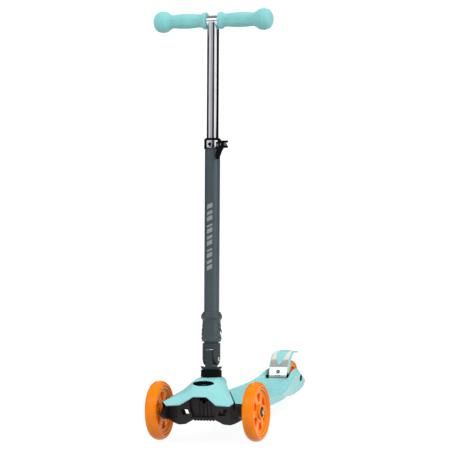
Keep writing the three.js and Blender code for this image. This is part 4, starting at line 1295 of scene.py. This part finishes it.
GRIP_RADIUS = level([  # by the distance from the stem
    (12.5, 15.2), (13.2, 16.6), (14.8, 17.5), (18.6, 17.4), (20.6, 16.6), (22.4, 15.0), (24.6, 14.1),
    (30, 13.9), (44, 15.2), (58, 15.8), (72, 15.3), (86, 14.2), (89.5, 14.3), (92, 16.2), (94.2, 16.6),
    (95.4, 17.6), (99, 20.2), (104, 21.7), (109, 22), (114, 21.3), (118, 19.8), (121.5, 17.4),
    (124.5, 13.4), (126.3, 9), (127, 4),
])
PADS = (35.0, 58.5, 81.5)  # middles of the raised finger pads along a grip
BALL_GROOVES = (104.6, 113.5)


def grip_shape(angle, x):
    """Finger pads, a hollow crescent below and rings round the end. The angle turns from up to forwards."""
    lift = 0.0
    for middle in PADS:
        reach_x = (x - middle) / 8.8
        reach_a = (angle - math.radians(68)) / math.radians(24)
        lift += 0.9 * (1 - ease((reach_x**2 + reach_a**2 - 0.45) / 0.55))
    crescent = math.radians(122) + math.radians(46) * ((x - 58) / 30) ** 2
    below = ease((math.radians(215) - angle) / math.radians(25))
    lift -= 0.9 * ease((angle - crescent) / math.radians(7)) * below
    for middle in BALL_GROOVES:
        lift -= 0.7 * math.exp(-(((x - middle) / 1.1) ** 2))
    return lift


def grip_ring(side, x, radius_at):
    """A ring round a grip, whose angle turns from up to forwards."""
    ring = []
    for angle in around(144):
        r = radius_at(angle)
        ring.append(Vector((x * side, -r * math.sin(angle), r * math.cos(angle))))
    return ring


def grip(side, name):
    """A grip, closed at its far end, with a blind bore for the tube."""
    steps, start = 170, 12.5
    xs = [start + (BAR_HALF - start) * (1 - (1 - i / steps) ** 1.25) for i in range(steps + 1)]
    bore = [grip_ring(side, x, lambda angle: 11.3) for x in (CROSS_HALF + 0.3, start)]
    skin = [grip_ring(side, x, lambda angle, x=x: GRIP_RADIUS(x) + grip_shape(angle, x)) for x in xs]
    made = loft(f"grip_sleeve_{name}", [*bore, *skin])
    place(made, STEM @ BAR, "handlebar", "mint_rubber", f"grip_{name}")


# CAD nodes that stay as they are, with the finish of each.
CARRIED = {
    "steel": [
        "kingpin_nut", "rear_axle", "rear_axle_nut", "rear_spacer_left", "rear_spacer_right",
        "bearing_spacer_left", "bearing_spacer_right", "rear_bearing_spacer", "brake_hinge_pin",
        "brake_spring", "lock_plunger", "clamp_bolt", "clamp_nut", "height_detent",
    ],
    "black_plastic": ["steer_bush", "brake_bush_left", "brake_bush_right", "tube_foot"],
    "black_casting": ["nose_mount"],
}


def carry_over():
    for finish, names in CARRIED.items():
        for name in names:
            node = NODES[name]
            node.data.materials.clear()
            node.data.materials.append(FINISHES[finish])
            bevel(node, 0.0004, 2, 40)
            even_normals(node)


# Studio

FLOOR_SIZE = 60.0
CARD_DISTANCE = 3.0
CARD_HEIGHT = 2.2
SKY_BELOW, SKY_ABOVE = 0.50, 1.27
VIEW_AZIMUTH = math.radians(20.29)
VIEW_ROLL = math.radians(2.86)
VIEW_LENS = 232.2
CAMERA_PLACE = Vector((1.9977, -5.6405, 1.1114))
CAMERA_AIM = Vector((0.0488, -0.2149, 0.4343))


def camera():
    sight = (CAMERA_AIM - CAMERA_PLACE).normalized()
    level_right = sight.cross(UP).normalized()
    up = level_right.cross(sight) * math.cos(VIEW_ROLL) + level_right * math.sin(VIEW_ROLL)
    data = bpy.data.cameras.new("camera")
    data.lens = VIEW_LENS
    data.sensor_width = 36
    data.clip_start, data.clip_end = 0.1, 200
    made = add_object("camera", data)
    turned = Matrix((sight.cross(up), up, -sight)).transposed().to_4x4()
    turned.translation = CAMERA_PLACE
    made.matrix_world = turned
    bpy.context.scene.camera = made


def stage_piece(name, points, faces, material, *unseen):
    """A piece of the studio, which some kinds of rays don't see."""
    mesh = bpy.data.meshes.new(name)
    mesh.from_pydata(points, [], faces)
    mesh.materials.append(material)
    made = add_object(name, mesh)
    for rays in unseen:
        setattr(made, f"visible_{rays}", False)


def square(half, y, z):
    return [(-half, y - half, z), (half, y - half, z), (half, y + half, z), (-half, y + half, z)]


def floor():
    """The floor, and a pale wall round it that only the camera sees."""
    graph = Graph("floor")
    graph.feed("Base Color", graph.ramp(graph.noise(2), [(0.3, (0.115,) * 3), (0.7, (0.125,) * 3)]))
    graph.feed("Emission Color", (1.0, 1.0, 1.0, 1.0))
    graph.feed("Emission Strength", 0.91)
    graph.feed("Roughness", 0.9)
    graph.feed("Specular IOR Level", 0.1)
    stage_piece("floor", square(FLOOR_SIZE / 2, 0, 0), [(0, 1, 2, 3)], graph.material, "diffuse")
    sides, radius = 64, FLOOR_SIZE * 0.48
    points = [(x, y, z) for z in (-0.5, FLOOR_SIZE / 2) for x, y in ellipse(radius, radius, sides)]
    faces = [(i, (i + 1) % sides, (i + 1) % sides + sides, i + sides) for i in range(sides)]
    stage_piece("backdrop", points, faces, graph.material, "diffuse", "glossy", "shadow")


REFLECTED_ONLY = ("camera", "diffuse", "shadow", "transmission")


def reflection_card(name, start, end, shades):
    """A card between two angles to the right of the camera, with (height, grey) shades from the bottom up."""
    graph = Graph(name)
    low, high = shades[0][0], shades[-1][0]
    stops = [((height - low) / (high - low), (grey, grey, grey * 1.03)) for height, grey in shades]
    shade_of = graph.ramp(graph.span(graph.height(), 0, 1, low, high), stops)
    graph.feed("Base Color", shade_of)
    graph.feed("Emission Color", shade_of)
    graph.feed("Emission Strength", 0.25)
    graph.gloss(0.9, 1.0, 3, 3.0)
    graph.feed("Specular IOR Level", 0.0)
    steps = max(2, round(abs(end - start) / 8))
    points = []
    for i in range(steps + 1):
        turn = VIEW_AZIMUTH + math.radians(start + (end - start) * i / steps)
        x, y = CARD_DISTANCE * math.sin(turn), FRONT_AXLE.y - CARD_DISTANCE * math.cos(turn)
        points += [(x, y, low), (x, y, high)]
    faces = [(2 * i, 2 * i + 2, 2 * i + 3, 2 * i + 1) for i in range(steps)]
    stage_piece(name, points, faces, graph.material, *REFLECTED_ONLY)


def top_card():
    """A flat card over the scooter."""
    graph = Graph("card_top")
    graph.feed("Base Color", graph.ramp(graph.noise(1), [(0.3, (0.5,) * 3), (0.7, (0.52, 0.51, 0.51))]))
    graph.feed("Roughness", 1.0)
    graph.feed("Specular IOR Level", 0.0)
    stage_piece("card_top", square(1.6, 0, 2.5), [(0, 1, 2, 3)], graph.material, *REFLECTED_ONLY)


def area_light(name, spot, size, power):
    data = bpy.data.lights.new(name, "AREA")
    data.shape = "SQUARE"
    data.size = size
    data.energy = power
    made = add_object(name, data)
    made.location = spot
    made.rotation_mode = "QUATERNION"
    made.rotation_quaternion = (CAMERA_AIM - Vector(spot)).to_track_quat("-Z", "Y")


def sky():
    """A studio that is bright above and dimmer below."""
    world = bpy.data.worlds.new("studio")
    world.use_nodes = True
    nodes, links = world.node_tree.nodes, world.node_tree.links
    parts = nodes.new("ShaderNodeSeparateXYZ")
    links.new(nodes.new("ShaderNodeTexCoord").outputs["Generated"], parts.inputs[0])
    strength = nodes.new("ShaderNodeMapRange")
    values = {"From Min": -0.35, "From Max": 0.55, "To Min": SKY_BELOW, "To Max": SKY_ABOVE}
    for socket, value in values.items():
        strength.inputs[socket].default_value = value
    links.new(parts.outputs["Z"], strength.inputs["Value"])
    links.new(strength.outputs["Result"], nodes["Background"].inputs["Strength"])
    nodes["Background"].inputs["Color"].default_value = (1.0, 1.0, 1.0, 1)
    bpy.context.scene.world = world


# What the chrome mirrors: start and end in degrees right of the camera, then (height, grey) shades.
BACK_SHADES = [(0.02, 0.004), (1.9, 0.006), (2.7, 0.30), (4.2, 0.45)]
CARDS = {
    "card_right": (77, 178, BACK_SHADES),
    "card_left": (-178, -92, BACK_SHADES),
    "card_slim": (-9, 29, [(1.00, 0.02), (1.26, 0.012), (1.5, 0.05), (CARD_HEIGHT, 0.06)]),
    "card_bright": (29, 45, [(0.80, 0.03), (1.00, 0.05), (1.10, 0.85), (CARD_HEIGHT, 0.95)]),
    "card_bright_low": (45, 77, [(0.50, 0.03), (0.80, 0.05), (0.90, 0.85), (CARD_HEIGHT, 0.95)]),
    "card_grey": (-52, -9, [(0.85, 0.04), (1.17, 0.07), (1.26, 0.35), (CARD_HEIGHT, 0.52)]),
    "card_pale": (-92, -52, [(0.60, 0.05), (0.95, 0.10), (1.08, 0.60), (CARD_HEIGHT, 0.75)]),
}


def studio():
    sky()
    area_light("key", (-1.8, -2.4, 3.0), 1.4, 10)
    area_light("fill", (3.0, -0.6, 1.2), 1.4, 26)
    floor()
    for name, (start, end, shades) in CARDS.items():
        reflection_card(name, start, end, shades)
    top_card()
    bpy.context.scene.view_settings.view_transform = "Standard"
    bpy.context.scene.view_settings.look = "None"


camera()
studio()
carry_over()
deck()
front_hood()
oval_insert()
truck()
wheels()
brake_fender()
fender_pad()
brake_plate()
plate_rivet()
base_ring()
hinge_base()
hinge_head()
highlight_line()
outer_tube()
slanted_bars()
lock_sleeve()
lock_spring()
clamp()
clamp_lever()
handlebar()
grip(1, "left")
grip(-1, "right")
